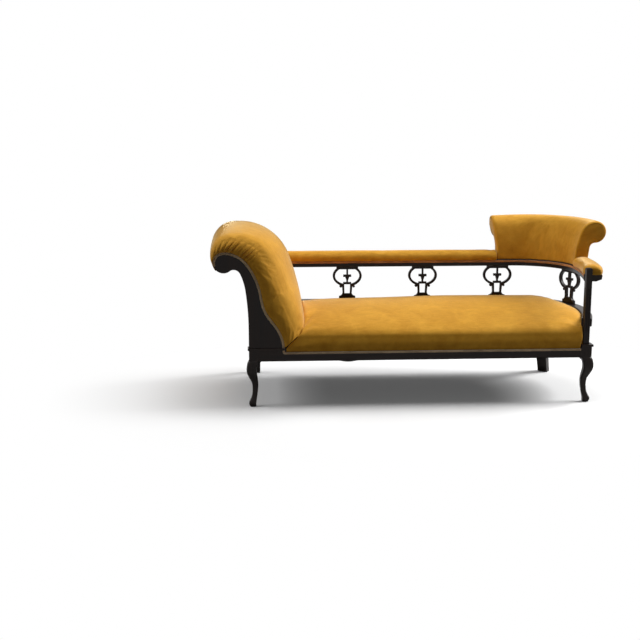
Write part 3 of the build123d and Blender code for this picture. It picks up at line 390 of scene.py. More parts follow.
def padding_line(foot, heading, stretches):
    """Outer line of the padding: stretches of (length, turn), then an arc round the head to the tuck."""
    arcs = [(length / math.radians(turn), turn) for length, turn in stretches]
    start = (facing_end + foot[0], block_top + foot[1])
    spots, ways = run(start, heading, arcs, fine_step)
    reach = tuck - spots[-1]
    ahead = reach @ np.array([math.cos(ways[-1]), math.sin(ways[-1])])
    aside = reach @ np.array([-math.sin(ways[-1]), math.cos(ways[-1])])
    last = (reach @ reach / (2.0 * aside), math.degrees(2.0 * math.atan2(aside, ahead)))
    return run(start, heading, arcs + [last], fine_step)


climb_rows = 150
arch_rows = 74
head_rows = 65
arch_heading = 128.5


def up_and_over(line, ways, swell):
    """A line in even steps up to its arch, on to its top and round the head, where it may swell."""
    arch = int(np.nonzero(ways < math.radians(arch_heading))[0][-1])
    top = int(np.argmin(np.abs(ways - math.pi)))
    over = even_steps(line[top:], head_rows)[1:]
    out = (over - head_spot) / np.linalg.norm(over - head_spot, axis=1)[:, None]
    over = over + swell * np.sin(math.pi * np.linspace(0.0, 1.0, len(over)))[:, None] ** 1.5 * out
    return np.concatenate([even_steps(line[:arch + 1], climb_rows),
                           even_steps(line[arch:top + 1], arch_rows)[1:], over])


edge_line, edge_way = padding_line((0.067, 0.060), 110.4, [(0.350, 2.0), (0.205, 77.6)])
crown_line, crown_way = padding_line((0.096, 0.037), 94.0, [(0.334, 16.0), (0.307, 78.0)])
tack_rows = up_and_over(*scroll_outline(pad_wrap), 0.0)
edge_rows = up_and_over(edge_line, edge_way, 0.014)
crown_rows = up_and_over(crown_line, crown_way, 0.010)
pad_middle = (rear_face - front_face) / 2


blunt_from = 0.05
blunt_reach = 0.20
head_bluff = 2.1
foot_bluff = 5.5


def fullness(depth, level):
    """Share of the way from the border's edge to the crown, by depth from a face; blunter low down."""
    low_down = np.clip(1.0 - (level - block_top - blunt_from) / blunt_reach, 0.0, 1.0)
    bluff = head_bluff + foot_bluff * low_down
    return 1.0 - (1.0 - np.clip(depth / pad_middle, 0.0, 1.0)) ** bluff


# Section of the border as (depth from the face, share of the way from the tacks to the edge).
border_reach = 0.048
full_border = 0.060
border_side = rounded([(0.000, 0.00), (-0.008, 0.05), (-0.0145, 0.18), (-0.0155, 0.34), (-0.0125, 0.52),
                       (-0.004, 0.72), (0.010, 0.885), (0.028, 0.975), (border_reach, 1.0)], 34)
panel_depth = np.linspace(border_reach, pad_middle, 26)[1:]
half_depth = np.concatenate([border_side[:, 0], panel_depth])
half_border = np.concatenate([border_side[:, 1], np.ones(len(panel_depth))])
pad_depth = np.concatenate([half_depth, half_depth[::-1][1:]])
pad_border = np.concatenate([half_border, half_border[::-1][1:]])
pad_facing = np.concatenate([-np.ones(len(half_depth)), np.ones(len(half_depth) - 1)])
border_width = np.linalg.norm(edge_rows - tack_rows, axis=1)
border_puff = np.clip(border_width / full_border, 0.1, 1.0)

# Gathers: the border is pleated where it turns round the head.
gather_middle = 0.485
gather_reach = 0.085
pleat_width = 0.0195
pleat_depth = 0.0105
pleat_end = 0.92
tack_along = lengths_along(tack_rows)
gathered = np.exp(-((tack_along - gather_middle) / gather_reach) ** 4)
pleat_place = tack_along / pleat_width + 0.22 * np.sin(tack_along / 0.017)
pleat_size = 0.75 + 0.25 * np.sin(tack_along / 0.011)
pleats = (0.5 + 0.5 * np.cos(2.0 * math.pi * pleat_place)) ** 2 * pleat_size
pad_grid = np.zeros((len(tack_rows), len(pad_depth), 3))
for j, (depth, border, facing) in enumerate(zip(pad_depth, pad_border, pad_facing)):
    share = fullness(np.full(len(edge_rows), max(depth, 0.0)), edge_rows[:, 1])[:, None]
    spots = tack_rows * (1.0 - border) + edge_rows * border + (crown_rows - edge_rows) * share
    fold = 0.0
    if border < pleat_end:
        fold = pleat_depth * math.sin(math.pi * (border / pleat_end) ** 0.5) ** 0.8
    inward = depth * (border_puff if depth < 0.0 else 1.0) + fold * gathered * pleats
    pad_grid[:, j, 0] = spots[:, 0]
    pad_grid[:, j, 1] = front_face + inward if facing < 0 else rear_face - inward
    pad_grid[:, j, 2] = spots[:, 1]

# Rear corner: behind the seat the border goes down to the base and the back seat rail, and is
# pressed in where the lower back rail passes it.
rail_step = facing_end + 0.036
rest_gap = 0.0005
corner_depth = 0.075
corner_blend = 0.030
corner_rows = 26.0
press_depth = 0.006
press_rise = 0.014
press_clear = 0.004
press_blend = 0.022
rear_corner = (pad_facing > 0) * np.clip((corner_depth - pad_depth) / corner_blend, 0.0, 1.0)
foot_rest = np.where(pad_grid[0, :, 0] < rail_step, block_top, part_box("back_seat_rail")[1].z)
foot_drop = np.clip(pad_grid[0, :, 2] - (foot_rest + rest_gap), 0.0, None) * rear_corner
foot_ease = np.clip(1.0 - np.arange(len(tack_rows)) / corner_rows, 0.0, 1.0)
pad_grid[:, :, 2] -= foot_drop * foot_ease[:, None]
rail_low, rail_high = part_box("lower_back_rail")
rail_gap = np.abs(pad_grid[:, :, 2] - (rail_low.z + rail_high.z) / 2) - (rail_high.z - rail_low.z) / 2
rail_ease = np.clip((rail_gap - press_clear) / press_blend, 0.0, 1.0) ** 1.5
rail_dent = rail_high.y - press_depth + press_rise * rail_ease
pressed = np.minimum(pad_grid[:, :, 1], rail_dent)
pad_grid[:, :, 1] = np.where(rear_corner > 0.0, pressed, pad_grid[:, :, 1])

backing = np.linspace(1.0, 0.0, 9)[1:-1]
lining = pad_grid[:, -1:, :] * backing[None, :, None] + pad_grid[:, :1, :] * (1.0 - backing)[None, :, None]
pad_loop = np.concatenate([pad_grid, lining], axis=1)
scroll_pad = cloth_form("scroll_end_pad", pad_loop, velvet, around=True, ends=True)
pad_columns = pad_loop.shape[1]


def pad_tacks(spots):
    """The padding is tacked along both facings, at its foot and under the head."""
    place = np.arange(len(spots))
    column = place % pad_columns
    row = place // pad_columns
    return (column < 2) | (column > len(pad_depth) - 3) | (row < 1) | (row > len(tack_rows) - 4)


settle(scroll_pad, pad_tacks, slack=0.004, push=1.2, limit=0.0025)
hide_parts("scroll_end_cover", "scroll_end_stuffing")


def pad_side(y, z):
    """Where the side of the padding stands, at a depth and a height, for what meets it."""
    share = fullness(np.minimum(y - front_face, rear_face - y), z)
    climb = len(edge_line) // 2
    foot = edge_line[0] + share[..., None] * (crown_line[0] - edge_line[0])
    above = (np.interp(z, edge_line[:climb, 1], edge_line[:climb, 0]) * (1.0 - share)
             + np.interp(z, crown_line[:climb, 1], crown_line[:climb, 0]) * share)
    rise = np.clip((z - block_top) / (foot[..., 1] - block_top), 0.0, 1.0)
    below = facing_end + (foot[..., 0] - facing_end) * rise
    return np.where(z < foot[..., 1], below, above)


# Outside of the scroll end: one piece of velvet stretched between the facings, from under the
# rolled head down to the seat rail, tacked along its edges.
neck_sweep = [(0.030, -90.0), (0.255, -17.0), (1.200, -8.0)]
neck_heading = 25.0
neck_step = 0.008
neck_wrap = 222.0
neck_top = tuple(scroll_outline(neck_wrap)[0][-1])
neck_foot = run(neck_top, neck_heading, neck_sweep, neck_step)[0][-1][1] - block_top
neck_line, neck_way = run(neck_top, neck_heading, neck_sweep + [(neck_foot, 0.0)], neck_step)
outside_columns = 40
outside_lift = 0.004
outside_slack = 0.006
tacked_width = 0.0265
outside_span = np.linspace(front_face + tacked_width, rear_face - tacked_width, outside_columns)
hollow = np.sin(np.linspace(0.0, math.pi, outside_columns)) ** 0.6
outside_grid = np.zeros((len(neck_line), outside_columns, 3))
for i, ((x, z), way) in enumerate(zip(neck_line, neck_way)):
    slack = outside_slack * math.sin(math.pi * i / (len(neck_line) - 1))
    outside_grid[i, :, 0] = x - math.sin(way) * (outside_lift + slack * hollow)
    outside_grid[i, :, 1] = outside_span
    outside_grid[i, :, 2] = z + math.cos(way) * (outside_lift + slack * hollow)
outside = cloth_form("scroll_end_outside_velvet", outside_grid, velvet)
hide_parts("scroll_end_outside_cover")


# Seat: one sprung and stuffed cushion. Its velvet runs over a crowned top, rolls over the front
# edge and goes down as a border to the front rail, where it is tacked under the braid.
back_line = (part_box("top_back_rail")[0].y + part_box("top_back_rail")[1].y) / 2
corner_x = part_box("top_back_rail")[1].x
corner_radius = 0.270
sweep_radius = 0.750
corner_y = back_line - corner_radius
end_line = corner_x + corner_radius
hair_gap = 0.0003
rail_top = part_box("front_seat_rail")[1].z
seat_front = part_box("seat_cover")[0].y
seat_left = facing_end + hair_gap
seat_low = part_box("seat_cover")[0].z
post_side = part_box("front_right_leg")[0].x


def seat_plan(inset, left, front, right):
    """Outline of the seat seen from above: front, rounded right end, back and left side."""
    back = back_line - inset
    radius = sweep_radius - inset
    corner = corner_radius - inset
    stop = math.asin((corner_y - front) / radius)
    level = np.linspace(left, corner_x, 100)
    notch = [(x, front) for x in np.linspace(corner_x, right, 22)[1:]]
    sweep = [(end_line - sweep_radius + radius * math.cos(a), corner_y - radius * math.sin(a))
             for a in np.linspace(stop, 0.0, 34)[4:]]
    bend = [(corner_x + corner * math.cos(a), corner_y + corner * math.sin(a))
            for a in np.linspace(0.0, math.pi / 2, 40)[1:]]
    line = [(x, front) for x in level] + notch + sweep + bend
    line += [(x, back) for x in level[::-1][1:]]
    line += [(left, y) for y in np.linspace(back, front, 44)[1:-1]]
    return np.array(line)


swell_places = [0.0, 0.18, 0.35, 0.42, 0.49, 0.56, 0.65, 0.74, 0.79, 0.86, 0.90, 0.94, 0.97, 1.0]
swell_sizes = [0.90, 0.935, 0.955, 0.972, 0.988, 0.995, 0.992, 0.986, 0.980, 0.978, 0.940, 0.80, 0.685, 0.6]


def crown(x, y):
    """Height of the seat's top: a curve from the front roll over the crown to the back."""
    swell = np.interp((x - seat_left) / (end_line - seat_left), swell_places, swell_sizes)
    firm = np.minimum(1.0, swell / 0.75)
    depths = [seat_front + 0.024, seat_front + 0.140, seat_front + 0.321, back_line - 0.023]
    heights = [0.047 * firm, 0.085 * firm, 0.1225 * swell, 0.086 * swell]
    level = rail_top
    for near, height in zip(depths, heights):
        others = [far for far in depths if far != near]
        level = level + height * np.prod([(y - far) / (near - far) for far in others], axis=0)
    return level


def roll_off(distance, reach, fall):
    """How far the cloth has dropped at a distance from an edge that it rolls over."""
    share = np.clip(1.0 - distance / reach, 0.0, 1.0)
    return fall * (1.0 - np.sqrt(1.0 - share ** 2))


rim_inset = 0.0228
tack_inset = 0.0058
spine_y = -0.06
front_roll = 0.028
side_roll = 0.030
border_top = rail_top + 0.016
border_bulge = 0.0075
braid_pinch = 0.002
rail_lap = 0.002
left_fall = 0.006
rim_fall = 0.020
seat_right = post_side - 0.0005
rim = seat_plan(rim_inset, seat_left, seat_front, seat_right)
tacked_rim = seat_plan(tack_inset, seat_left, seat_front, seat_right)
spine_x = np.clip(rim[:, 0], seat_left + 0.20, corner_x - 0.02)
spine = np.stack([spine_x, np.full(len(rim), spine_y)], axis=1)
reach_in = np.concatenate([[0.0, 0.006, 0.02, 0.042, 0.075, 0.12], np.linspace(0.18, 1.0, 15)])
front_side = np.abs(rim[:, 1] - seat_front) < 1e-6
left_side = (np.abs(rim[:, 0] - seat_left) < 1e-6) & ~front_side
edge_fall = np.where(left_side, left_fall, rim_fall)
seat_rows = []
for depth in np.linspace(0.0, 1.0, 9)[:-1]:
    low = np.where(front_side & (rim[:, 0] < post_side), seat_low, rail_top + rail_lap)
    high = np.where(front_side, border_top, crown(rim[:, 0], rim[:, 1]) - edge_fall)
    bulge = border_bulge * math.sin(math.pi * depth ** 0.8) - braid_pinch * (1.0 - depth) ** 3
    out = np.where(front_side, -bulge, 0.0)
    foot = rim + (tacked_rim - rim) * max(0.0, 1.0 - depth / 0.2) ** 2
    seat_rows.append(np.stack([foot[:, 0], foot[:, 1] + out, low + (high - low) * depth], axis=1))
for share in reach_in:
    spot = rim + (spine - rim) * share
    gap_front = spot[:, 1] - seat_front
    gap_rim = np.where(front_side, 1.0, np.linalg.norm(spot - rim, axis=1))
    front_fall = crown(spot[:, 0], np.full(len(spot), seat_front)) - border_top
    level = crown(spot[:, 0], spot[:, 1])
    level = level - roll_off(gap_front, front_roll, front_fall)
    level = level - roll_off(gap_rim, side_roll, edge_fall) * (spot[:, 1] > seat_front + 0.05)
    seat_rows.append(np.stack([spot[:, 0], spot[:, 1], level], axis=1))
seat_grid = np.array(seat_rows)
beside_reach = 0.25
beside = pad_side(seat_grid[:, :, 1], seat_grid[:, :, 2]) - seat_left
seat_grid[:, :, 0] += beside * np.clip(1.0 - (seat_grid[:, :, 0] - seat_left) / beside_reach, 0.0, 1.0)
post_reach = 0.09
post_lap = 0.0095
beyond_block = np.clip((seat_grid[:, :, 2] - block_top) / 0.025, 0.0, 1.0)
beside_post = np.clip((seat_grid[:, :, 0] - post_side + post_reach) / post_reach, 0.0, 1.0)
seat_grid[:, :, 0] += post_lap * beyond_block * beside_post
seat = cloth_form("seat_cushion", seat_grid, velvet, around=True, weld=True)


def seat_tacks(spots):
    """The seat is tacked under the braid, along the rails and where it meets the scroll end."""
    low = spots[:, 2] < np.where(spots[:, 1] < seat_front + 0.03, seat_low + 0.006, rail_top + 0.012)
    return low | (spots[:, 0] < pad_side(spots[:, 1], spots[:, 2]) + 0.003)


settle(seat, seat_tacks, slack=0.004, push=1.2, limit=0.004)
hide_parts("seat_cover", "seat_stuffing")


# Padding on the back rail and the arm: a long domed roll of stuffing under velvet, tacked down
# both sides of the rail. It runs from the scroll end to the crest and from there to the post.
arm_sweep_radius = 1.140
corner_length = corner_radius * math.pi / 2


def rail_frame(length):
    """Place and outward way on the top rail's middle line; lengths below 0 lie on the straight back."""
    if length <= 0.0:
        return np.array([corner_x + length, back_line]), np.array([0.0, 1.0])
    if length <= corner_length:
        turn = length / corner_radius
        out = np.array([math.sin(turn), math.cos(turn)])
        return np.array([corner_x, corner_y]) + corner_radius * out, out
    turn = (length - corner_length) / arm_sweep_radius
    out = np.array([math.cos(turn), -math.sin(turn)])
    return np.array([end_line - arm_sweep_radius, corner_y]) + arm_sweep_radius * out, out


def along_rail(section, length):
    """A section drawn as (outwards, up), set across the rails at a length along them."""
    spot, out = rail_frame(length)
    x = spot[0] + section[:, 0] * out[0]
    y = spot[1] + section[:, 0] * out[1]
    return np.stack([x, y, section[:, 1]], axis=1)


top_rail_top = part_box("top_back_rail")[1].z
pad_low = top_rail_top + hair_gap
pad_crown = (0.0, pad_low + 0.0428)
pad_half = [(0.0383, -0.0050), (0.0405, -0.0030), (0.0428, 0.0035), (0.0436, 0.0130), (0.0400, 0.0255),
            (0.0280, 0.0365)]
rail_pad_outline = rounded([(-out, pad_low + up) for out, up in pad_half] + [pad_crown]
                           + [(out, pad_low + up) for out, up in pad_half[::-1]], 44)


def rail_pad(name, start, stop, round_end):
    """Domed padding between two lengths along the rails; a rounded end is drawn in over its last part."""
    lengths = np.linspace(start, stop, max(12, round((stop - start) / 0.010)))
    if round_end:
        turn_in = stop - round_end * (1.0 - np.sin(np.linspace(0.0, math.pi / 2, 12)))
        lengths = np.concatenate([np.linspace(start, stop - round_end, 26)[:-1], turn_in])
    rows = []
    for length in lengths:
        slack = 1.0 + 0.012 * math.sin(length * 23.0) * math.sin(length * 7.0)
        section = rail_pad_outline.copy()
        draw = float(roll_off(stop - length, round_end, 0.5)) if round_end else 0.0
        section[:, 0] *= 1.0 - draw * 0.75
        section[:, 1] = pad_low + (section[:, 1] - pad_low) * slack * (1.0 - draw)
        rows.append(along_rail(section, length))
    grid = np.array(rows)
    piece = cloth_form(name, grid, velvet, around=True, ends=True)
    columns = grid.shape[1]

    def sides(spots):
        """Both lower edges are tacked to the rail, and both ends are closed."""
        place = np.arange(len(spots))
        column = place % columns
        row = place // columns
        return (column < 3) | (column > columns - 4) | (row < 1) | (row > len(rows) - 2)

    settle(piece, sides, slack=0.002, push=1.2, limit=0.0015)
    return piece


post_middle = (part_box("arm_post")[0].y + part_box("arm_post")[1].y) / 2
arm_length = arm_sweep_radius * math.asin((corner_y - post_middle) / arm_sweep_radius)
arm_stop = corner_length + arm_length - 0.013
arm_overhang = 0.010
arm_round = 0.036
crest_start = -0.067
crest_stop = corner_length
back_pad_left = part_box("back_rail_cover")[0].x - corner_x
back_pad = rail_pad("back_rail_pad", back_pad_left, crest_start - hair_gap, 0.0)
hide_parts("back_rail_cover", "back_rail_stuffing")
arm_pad = rail_pad("arm_pad", crest_stop + hair_gap, arm_stop + arm_overhang, arm_round)
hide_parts("arm_cover", "arm_stuffing")

# Crest: a padded back-rest that follows the rounded end, leans outwards and rolls over at the
# top. The velvet wraps it from the rail to the rail, and a flat panel closes each end.
crest_sweep = [(0.455, -20.0), (0.0705, -70.0), (0.050, -90.0), (0.050, -90.0), (0.024, 90.0)]
crest_line, crest_way = run((-0.033, pad_low), 90.0, crest_sweep, 0.006)
crest_tip = int(np.argmax(crest_line[:, 0]))
crest_height = 0.21
crest_rise = 0.007
crest_flare = 0.021
foot_steps = 9


def crest_outline(inset):
    """Face, roll and back of the crest as (outwards, up), drawn in by an inset."""
    line = crest_line + inset * np.stack([np.sin(crest_way), -np.cos(crest_way)], axis=1)
    drop = np.linspace(0.0, 1.0, foot_steps + 1)[1:, None]
    foot = line[-1] * (1.0 - drop) + np.array([line[-1][0] - 0.010, pad_low]) * drop
    base = np.linspace(0.0, 1.0, 8)[1:-1, None]
    under = foot[-1] * (1.0 - base) + np.array([line[0][0], pad_low]) * base
    return np.concatenate([line, foot, under])


def crest_section(outline, length):
    """An outline set at its place: the top rises a little to the middle, and the left end flares."""
    share = (length - crest_start) / (crest_stop - crest_start)
    height = np.clip((outline[:, 1] - pad_low) / crest_height, 0.0, 1.0)
    rise = crest_rise * math.sin(math.pi * share) * height ** 2
    spots = along_rail(outline + np.stack([np.zeros(len(rise)), rise], axis=1), length)
    flare = crest_flare * np.clip((height - 0.3) / 0.7, 0.0, 1.0)
    spots[:, 0] -= flare * max(0.0, 1.0 - share / 0.18) ** 2
    return spots


crest_edge = 0.010
seam_inset = crest_edge * 0.8
edge_steps = crest_edge * np.array([0.0, 0.12, 0.3, 0.55, 0.8])
crest_lengths = np.concatenate([crest_start + edge_steps,
                                np.linspace(crest_start + crest_edge, crest_stop - crest_edge, 60),
                                crest_stop - edge_steps[::-1]])
crest_rows = []
for length in crest_lengths:
    gap = min(length - crest_start, crest_stop - length)
    inset = float(roll_off(gap, crest_edge, seam_inset))
    crest_rows.append(crest_section(crest_outline(inset), length))
crest_grid = np.array(crest_rows)
crest = cloth_form("crest_pad", crest_grid, velvet, around=True)
crest_columns = crest_grid.shape[1]


def crest_tacks(spots):
    """The crest's velvet is tacked under its foot and sewn to the end panels."""
    row = np.arange(len(spots)) // crest_columns
    return (spots[:, 2] < pad_low + 0.004) | (row < 2) | (row > len(crest_rows) - 3)


settle(crest, crest_tacks, slack=0.001, push=0.8, limit=0.0006)
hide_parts("crest_cover", "crest_stuffing")
panel_steps = 44
panel_columns = 14
panel_fill = 0.0035
panel_sink = 0.0012
panel_shares = np.linspace(0.0, 1.0, panel_columns)
for name, length, way in (("crest_left_end_panel", crest_start, 1.0),
                          ("crest_right_end_panel", crest_stop, -1.0)):
    outline = crest_outline(seam_inset)
    front = rounded(outline[:crest_tip + 1], panel_steps)
    back = rounded(outline[crest_tip:len(crest_line) + foot_steps][::-1], panel_steps)
    panel_rows = []
    for i in range(panel_steps):
        row = front[i] * (1.0 - panel_shares[:, None]) + back[i] * panel_shares[:, None]
        taper = math.sin(math.pi * min(1.0, (i + 2) / (panel_steps + 2))) ** 0.3
        fill = panel_fill * np.sin(math.pi * panel_shares) ** 0.6 * taper
        panel_rows.append([crest_section(row[k:k + 1], length + way * (panel_sink - fill[k]))[0]
                           for k in range(panel_columns)])
    panel = cloth_form(name, np.array(panel_rows), velvet)
    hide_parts("crest_end_covers")


# Braid: a narrow woven gimp glued over the tacked edges of the velvet, old gold round the seat and
# the scroll end and brown on the rails. Two cords wave from side to side over a flat tape with
# a fine cord along each edge.
def woven_gimp(name, dark, pale):
    """Twisted yarn with a fine fleck, faded in places."""
    material, shader = finish_material(name)
    twist_depth = 0.0008
    place = own_place(material)
    yarn = mottle(material, place, 420.0, 3.0)
    fade = mottle(material, place, 14.0, 2.0)
    tone = two_tone(material, mixed_tone(material, 0.5, yarn, fade), (0.36, dark), (0.64, pale))
    wire(material, tone, shader, "Base Color")
    set_finish(shader, {"Roughness": 0.7, "Sheen Weight": 0.3})
    wire(material, bumps(material, yarn, 0.5, twist_depth), shader, "Normal")
    return material


old_gold_gimp = woven_gimp("old_gold_braid", (0.46, 0.33, 0.20, 1.0), (0.88, 0.69, 0.45, 1.0))
brown_gimp = woven_gimp("brown_braid", (0.36, 0.15, 0.05, 1.0), (0.78, 0.38, 0.14, 1.0))
tape_half = 0.0042
tape_thick = 0.0009
wave_length = 0.0088
wave_swing = 0.0026
wave_cord = 0.0010
edge_cord = 0.0009
edge_place = 0.0041


def cord(spots, sides, ups, radius, points, faces):
    """Add a round cord along a line to the lists of points and faces."""
    corners = 5
    first = len(points)
    for spot, side, up in zip(spots, sides, ups):
        for k in range(corners):
            angle = 2.0 * math.pi * k / corners
            points.append(tuple(spot + radius * (math.cos(angle) * side + math.sin(angle) * up)))
    faces.extend(grid_faces(first, len(spots), corners, True))


def braid(name, line, outward, yarn):
    """Gimp laid along a line of points; outward is the way that its face looks, for each point."""
    line = np.array(line, float)
    outward = np.array(outward, float)
    along = lengths_along(line)
    count = max(24, int(along[-1] / 0.0011))
    even = np.linspace(0.0, along[-1], count)
    spots = np.stack([np.interp(even, along, line[:, k]) for k in range(3)], axis=1)
    ups = np.stack([np.interp(even, along, outward[:, k]) for k in range(3)], axis=1)
    ups /= np.linalg.norm(ups, axis=1)[:, None]
    ways = np.gradient(spots, axis=0)
    ways /= np.linalg.norm(ways, axis=1)[:, None]
    sides = np.cross(ups, ways)
    sides /= np.linalg.norm(sides, axis=1)[:, None]
    points = []
    tape_rows = range(0, count, 4)
    tape_section = ((-tape_half, 0.0), (-tape_half, tape_thick), (tape_half, tape_thick), (tape_half, 0.0))
    for i in tape_rows:
        for across, up in tape_section:
            points.append(tuple(spots[i] + sides[i] * across + ups[i] * up))
    faces = grid_faces(0, len(tape_rows), len(tape_section), True)
    for phase in (0.0, math.pi):
        swing = wave_swing * np.sin(2.0 * math.pi * even / wave_length + phase)
        lift = 0.0014 + 0.0005 * np.cos(4.0 * math.pi * even / wave_length + 2.0 * phase + phase / 2)
        middle = spots + sides * swing[:, None] + ups * lift[:, None]
        cord(middle, sides, ups, wave_cord, points, faces)
    step = slice(0, count, 3)
    for edge in (-edge_place, edge_place):
        middle = spots[step] + sides[step] * edge + ups[step] * tape_thick
        cord(middle, sides[step], ups[step], edge_cord, points, faces)
    mesh = bpy.data.meshes.new(name)
    mesh.from_pydata(points, [], faces)
    return fit_piece(name, mesh, yarn)


gimp_half = 0.0045
gimp_wrap = 110.0
scroll_line, scroll_way = scroll_outline(gimp_wrap)
gimp_centre = scroll_line - gimp_half * np.stack([np.sin(scroll_way), -np.cos(scroll_way)], axis=1)
front_run = [(x, front_face, z) for x, z in gimp_centre[::-1]]
gimp_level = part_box("seat_gimp")[0].z + gimp_half
elbow = 0.007
elbow_x = front_run[-1][0] + elbow
elbow_z = gimp_level + elbow
front_run += [(elbow_x - elbow * math.cos(a), front_face, elbow_z - elbow * math.sin(a))
              for a in np.linspace(0.0, math.pi / 2, 10)]
front_run.append((post_side - 0.002, front_face, gimp_level))
front_braid = braid("front_braid", front_run, [(0.0, -1.0, 0.0)] * len(front_run), old_gold_gimp)
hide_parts("seat_gimp", "scroll_end_gimp")
rear_run = [(x, rear_face, z) for x, z in gimp_centre]
rear_braid = braid("scroll_end_rear_braid", rear_run, [(0.0, 1.0, 0.0)] * len(rear_run), old_gold_gimp)
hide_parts("scroll_end_gimp")
rail_half = 0.038
braid_level = top_rail_top - 0.004 - gimp_half
braid_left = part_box("back_rail_gimp")[0].x - corner_x
braid_lengths = np.concatenate([np.linspace(braid_left, 0.0, 40), np.linspace(0.0, arm_stop, 80)[1:]])
braid_places = [rail_frame(length) for length in braid_lengths]
for name, side in (("rail_inner_braid", -1.0), ("rail_outer_braid", 1.0)):
    line = [(*(spot + side * rail_half * out), braid_level) for spot, out in braid_places]
    piece = braid(name, line, [(*(side * out), 0.0) for spot, out in braid_places], brown_gimp)
    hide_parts("back_rail_gimp", "arm_gimp")

# Bottom cloth: thin black cotton tacked under the seat rails to keep the dust in. It has
# stretched with age, and sags a little between the rails.
dust_cotton, dust_shader = finish_material("black_cotton")
dust_weave = mottle(dust_cotton, own_place(dust_cotton), 700.0, 2.0)
dust_tone = blend(dust_cotton, dust_weave, (0.006, 0.006, 0.007, 1.0), (0.022, 0.021, 0.021, 1.0))
wire(dust_cotton, dust_tone, dust_shader, "Base Color")
set_finish(dust_shader, {"Roughness": 0.95})
cloth_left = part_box("bottom_cloth")[0].x
cloth_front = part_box("bottom_cloth")[0].y
cloth_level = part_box("bottom_cloth")[0].z + 0.0006
keel_y = -0.045
sag_depth = 0.016
dip_depth = 0.012
dip_x = -0.305
dip_reach = 0.05
hem = seat_plan(0.0, cloth_left, cloth_front, post_side + 0.030)
keel_x = np.clip(hem[:, 0], cloth_left + 0.2, corner_x - 0.02)
keel = np.stack([keel_x, np.full(len(hem), keel_y)], axis=1)
cloth_rows = []
for share in np.linspace(0.0, 1.0, 16):
    spot = hem + (keel - hem) * share
    sag = sag_depth * math.sin(math.pi / 2 * share) * np.clip((spot[:, 0] + 0.66) / 0.2, 0.0, 1.0)
    dip = np.exp(-((spot[:, 0] - dip_x) / dip_reach) ** 2)
    sag += dip_depth * min(1.0, share / 0.13) * (1.0 - share) * dip
    cloth_rows.append(np.stack([spot[:, 0], spot[:, 1], cloth_level - sag], axis=1))
cloth_grid = np.array(cloth_rows)
bottom = cloth_form("bottom_cloth_sheet", cloth_grid, dust_cotton, around=True)
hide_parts("bottom_cloth")

# Studio: a white paper floor that keeps the shadow and runs out into white, a broad soft lamp
# overhead, one like a window on the right and a weaker one on the left, and the camera in front,
# a little left of the middle and at chest height.
floor_half = 30.0
floor_mesh = bpy.data.meshes.new("studio_floor")
floor_mesh.from_pydata([(-floor_half, -floor_half, 0.0), (floor_half, -floor_half, 0.0),
                        (floor_half, floor_half, 0.0), (-floor_half, floor_half, 0.0)], [], [(0, 1, 2, 3)])
floor = bpy.data.objects.new("studio_floor", floor_mesh)
bpy.context.scene.collection.objects.link(floor)


def looked_at(material):
    """1 for what the camera sees, directly, in a gloss or through glass; 0 for other light."""
    rays = shade(material, "ShaderNodeLightPath")
    seen = shade(material, "ShaderNodeMath",
                 {0: rays.outputs["Is Camera Ray"], 1: rays.outputs["Is Glossy Ray"]}, operation="MAXIMUM")
    through = shade(material, "ShaderNodeMath",
                    {0: seen.outputs["Value"], 1: rays.outputs["Is Transmission Ray"]}, operation="MAXIMUM")
    return through.outputs["Value"]


white = (1.0, 1.0, 1.0, 1.0)
bounce_grey = (0.18, 0.175, 0.17, 1.0)
paper, paper_shader = finish_material("white_paper")
paper_seen = looked_at(paper)
paper_place = own_place(paper)
paper_tooth = mottle(paper, paper_place, 3.0, 3.0)
paper_tone = blend(paper, paper_tooth, (0.95, 0.95, 0.95, 1.0), (0.98, 0.98, 0.98, 1.0))
wire(paper, blend(paper, paper_seen, bounce_grey, paper_tone), paper_shader, "Base Color")
set_finish(paper_shader, {"Roughness": 0.9, "Specular IOR Level": 0.0})
paper_spread = shade(paper, "ShaderNodeMapping", {"Vector": paper_place, "Location": (0.0, 0.06, 0.0),
                                                  "Scale": (0.62, 0.95, 1.0)}).outputs["Vector"]
paper_reach = shade(paper, "ShaderNodeVectorMath", {0: paper_spread}, operation="LENGTH").outputs["Value"]
paper_fade = shade(paper, "ShaderNodeMapRange",
                   {"Value": paper_reach, "From Min": 0.60, "From Max": 1.05, "To Min": 0.08},
                   interpolation_type="SMOOTHSTEP").outputs["Result"]
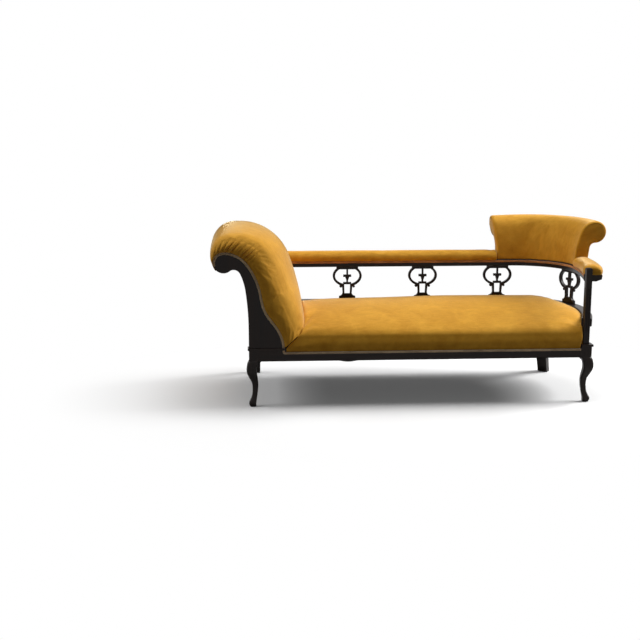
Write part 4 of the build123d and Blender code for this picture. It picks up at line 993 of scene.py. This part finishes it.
paper_share = shade(paper, "ShaderNodeMath", {0: paper_fade, 1: paper_seen},
                    operation="MULTIPLY").outputs["Value"]
paper_glow = shade(paper, "ShaderNodeEmission", {"Color": white, "Strength": 1.0}).outputs["Emission"]
paper_out = shade(paper, "ShaderNodeMixShader",
                  {0: paper_share, 1: paper_shader.outputs["BSDF"], 2: paper_glow}).outputs["Shader"]
wire(paper, paper_out, paper.node_tree.nodes["Material Output"], "Surface")
floor_mesh.materials.append(paper)

world = bpy.data.worlds.new("studio_world")
bpy.context.scene.world = world
world.use_nodes = True
sky = world.node_tree.nodes["Background"]
glow = shade(world, "ShaderNodeMapRange", {"Value": looked_at(world), "To Min": 0.085, "To Max": 1.0})
set_finish(sky, {"Color": white})
wire(world, glow.outputs["Result"], sky, "Strength")


def soft_lamp(name, spot, target, size, power):
    """A broad square lamp that looks at a point."""
    lamp = bpy.data.lights.new(name, "AREA")
    lamp.shape = "SQUARE"
    lamp.size = size
    lamp.energy = power
    holder = bpy.data.objects.new(name, lamp)
    holder.location = spot
    way = np.array(target) - np.array(spot)
    flat = math.hypot(way[0], way[1])
    holder.rotation_euler = (math.atan2(flat, -way[2]), 0.0, math.atan2(-way[0], way[1]))
    bpy.context.scene.collection.objects.link(holder)


soft_lamp("overhead_lamp", (-0.2, 0.4, 5.0), (0.0, -0.1, 0.2), size=3.2, power=120.0)
soft_lamp("right_window", (3.5, 0.6, 2.5), (0.0, 0.0, 0.4), size=2.0, power=207.0)
soft_lamp("left_window", (-3.2, 0.2, 2.8), (0.0, 0.0, 0.4), size=2.0, power=46.0)

camera = bpy.data.cameras.new("camera")
camera.sensor_fit = "HORIZONTAL"
camera.sensor_width = 36.0
camera.lens = 58.4
look_down = 10.895
look_right = 3.253
viewer = bpy.data.objects.new("camera", camera)
viewer.location = (-0.679, -4.681, 1.2167)
viewer.rotation_euler = (math.radians(90.0 - look_down), 0.0, math.radians(-look_right))
bpy.context.scene.collection.objects.link(viewer)
bpy.context.scene.camera = viewer
bpy.context.scene.view_settings.view_transform = "Standard"
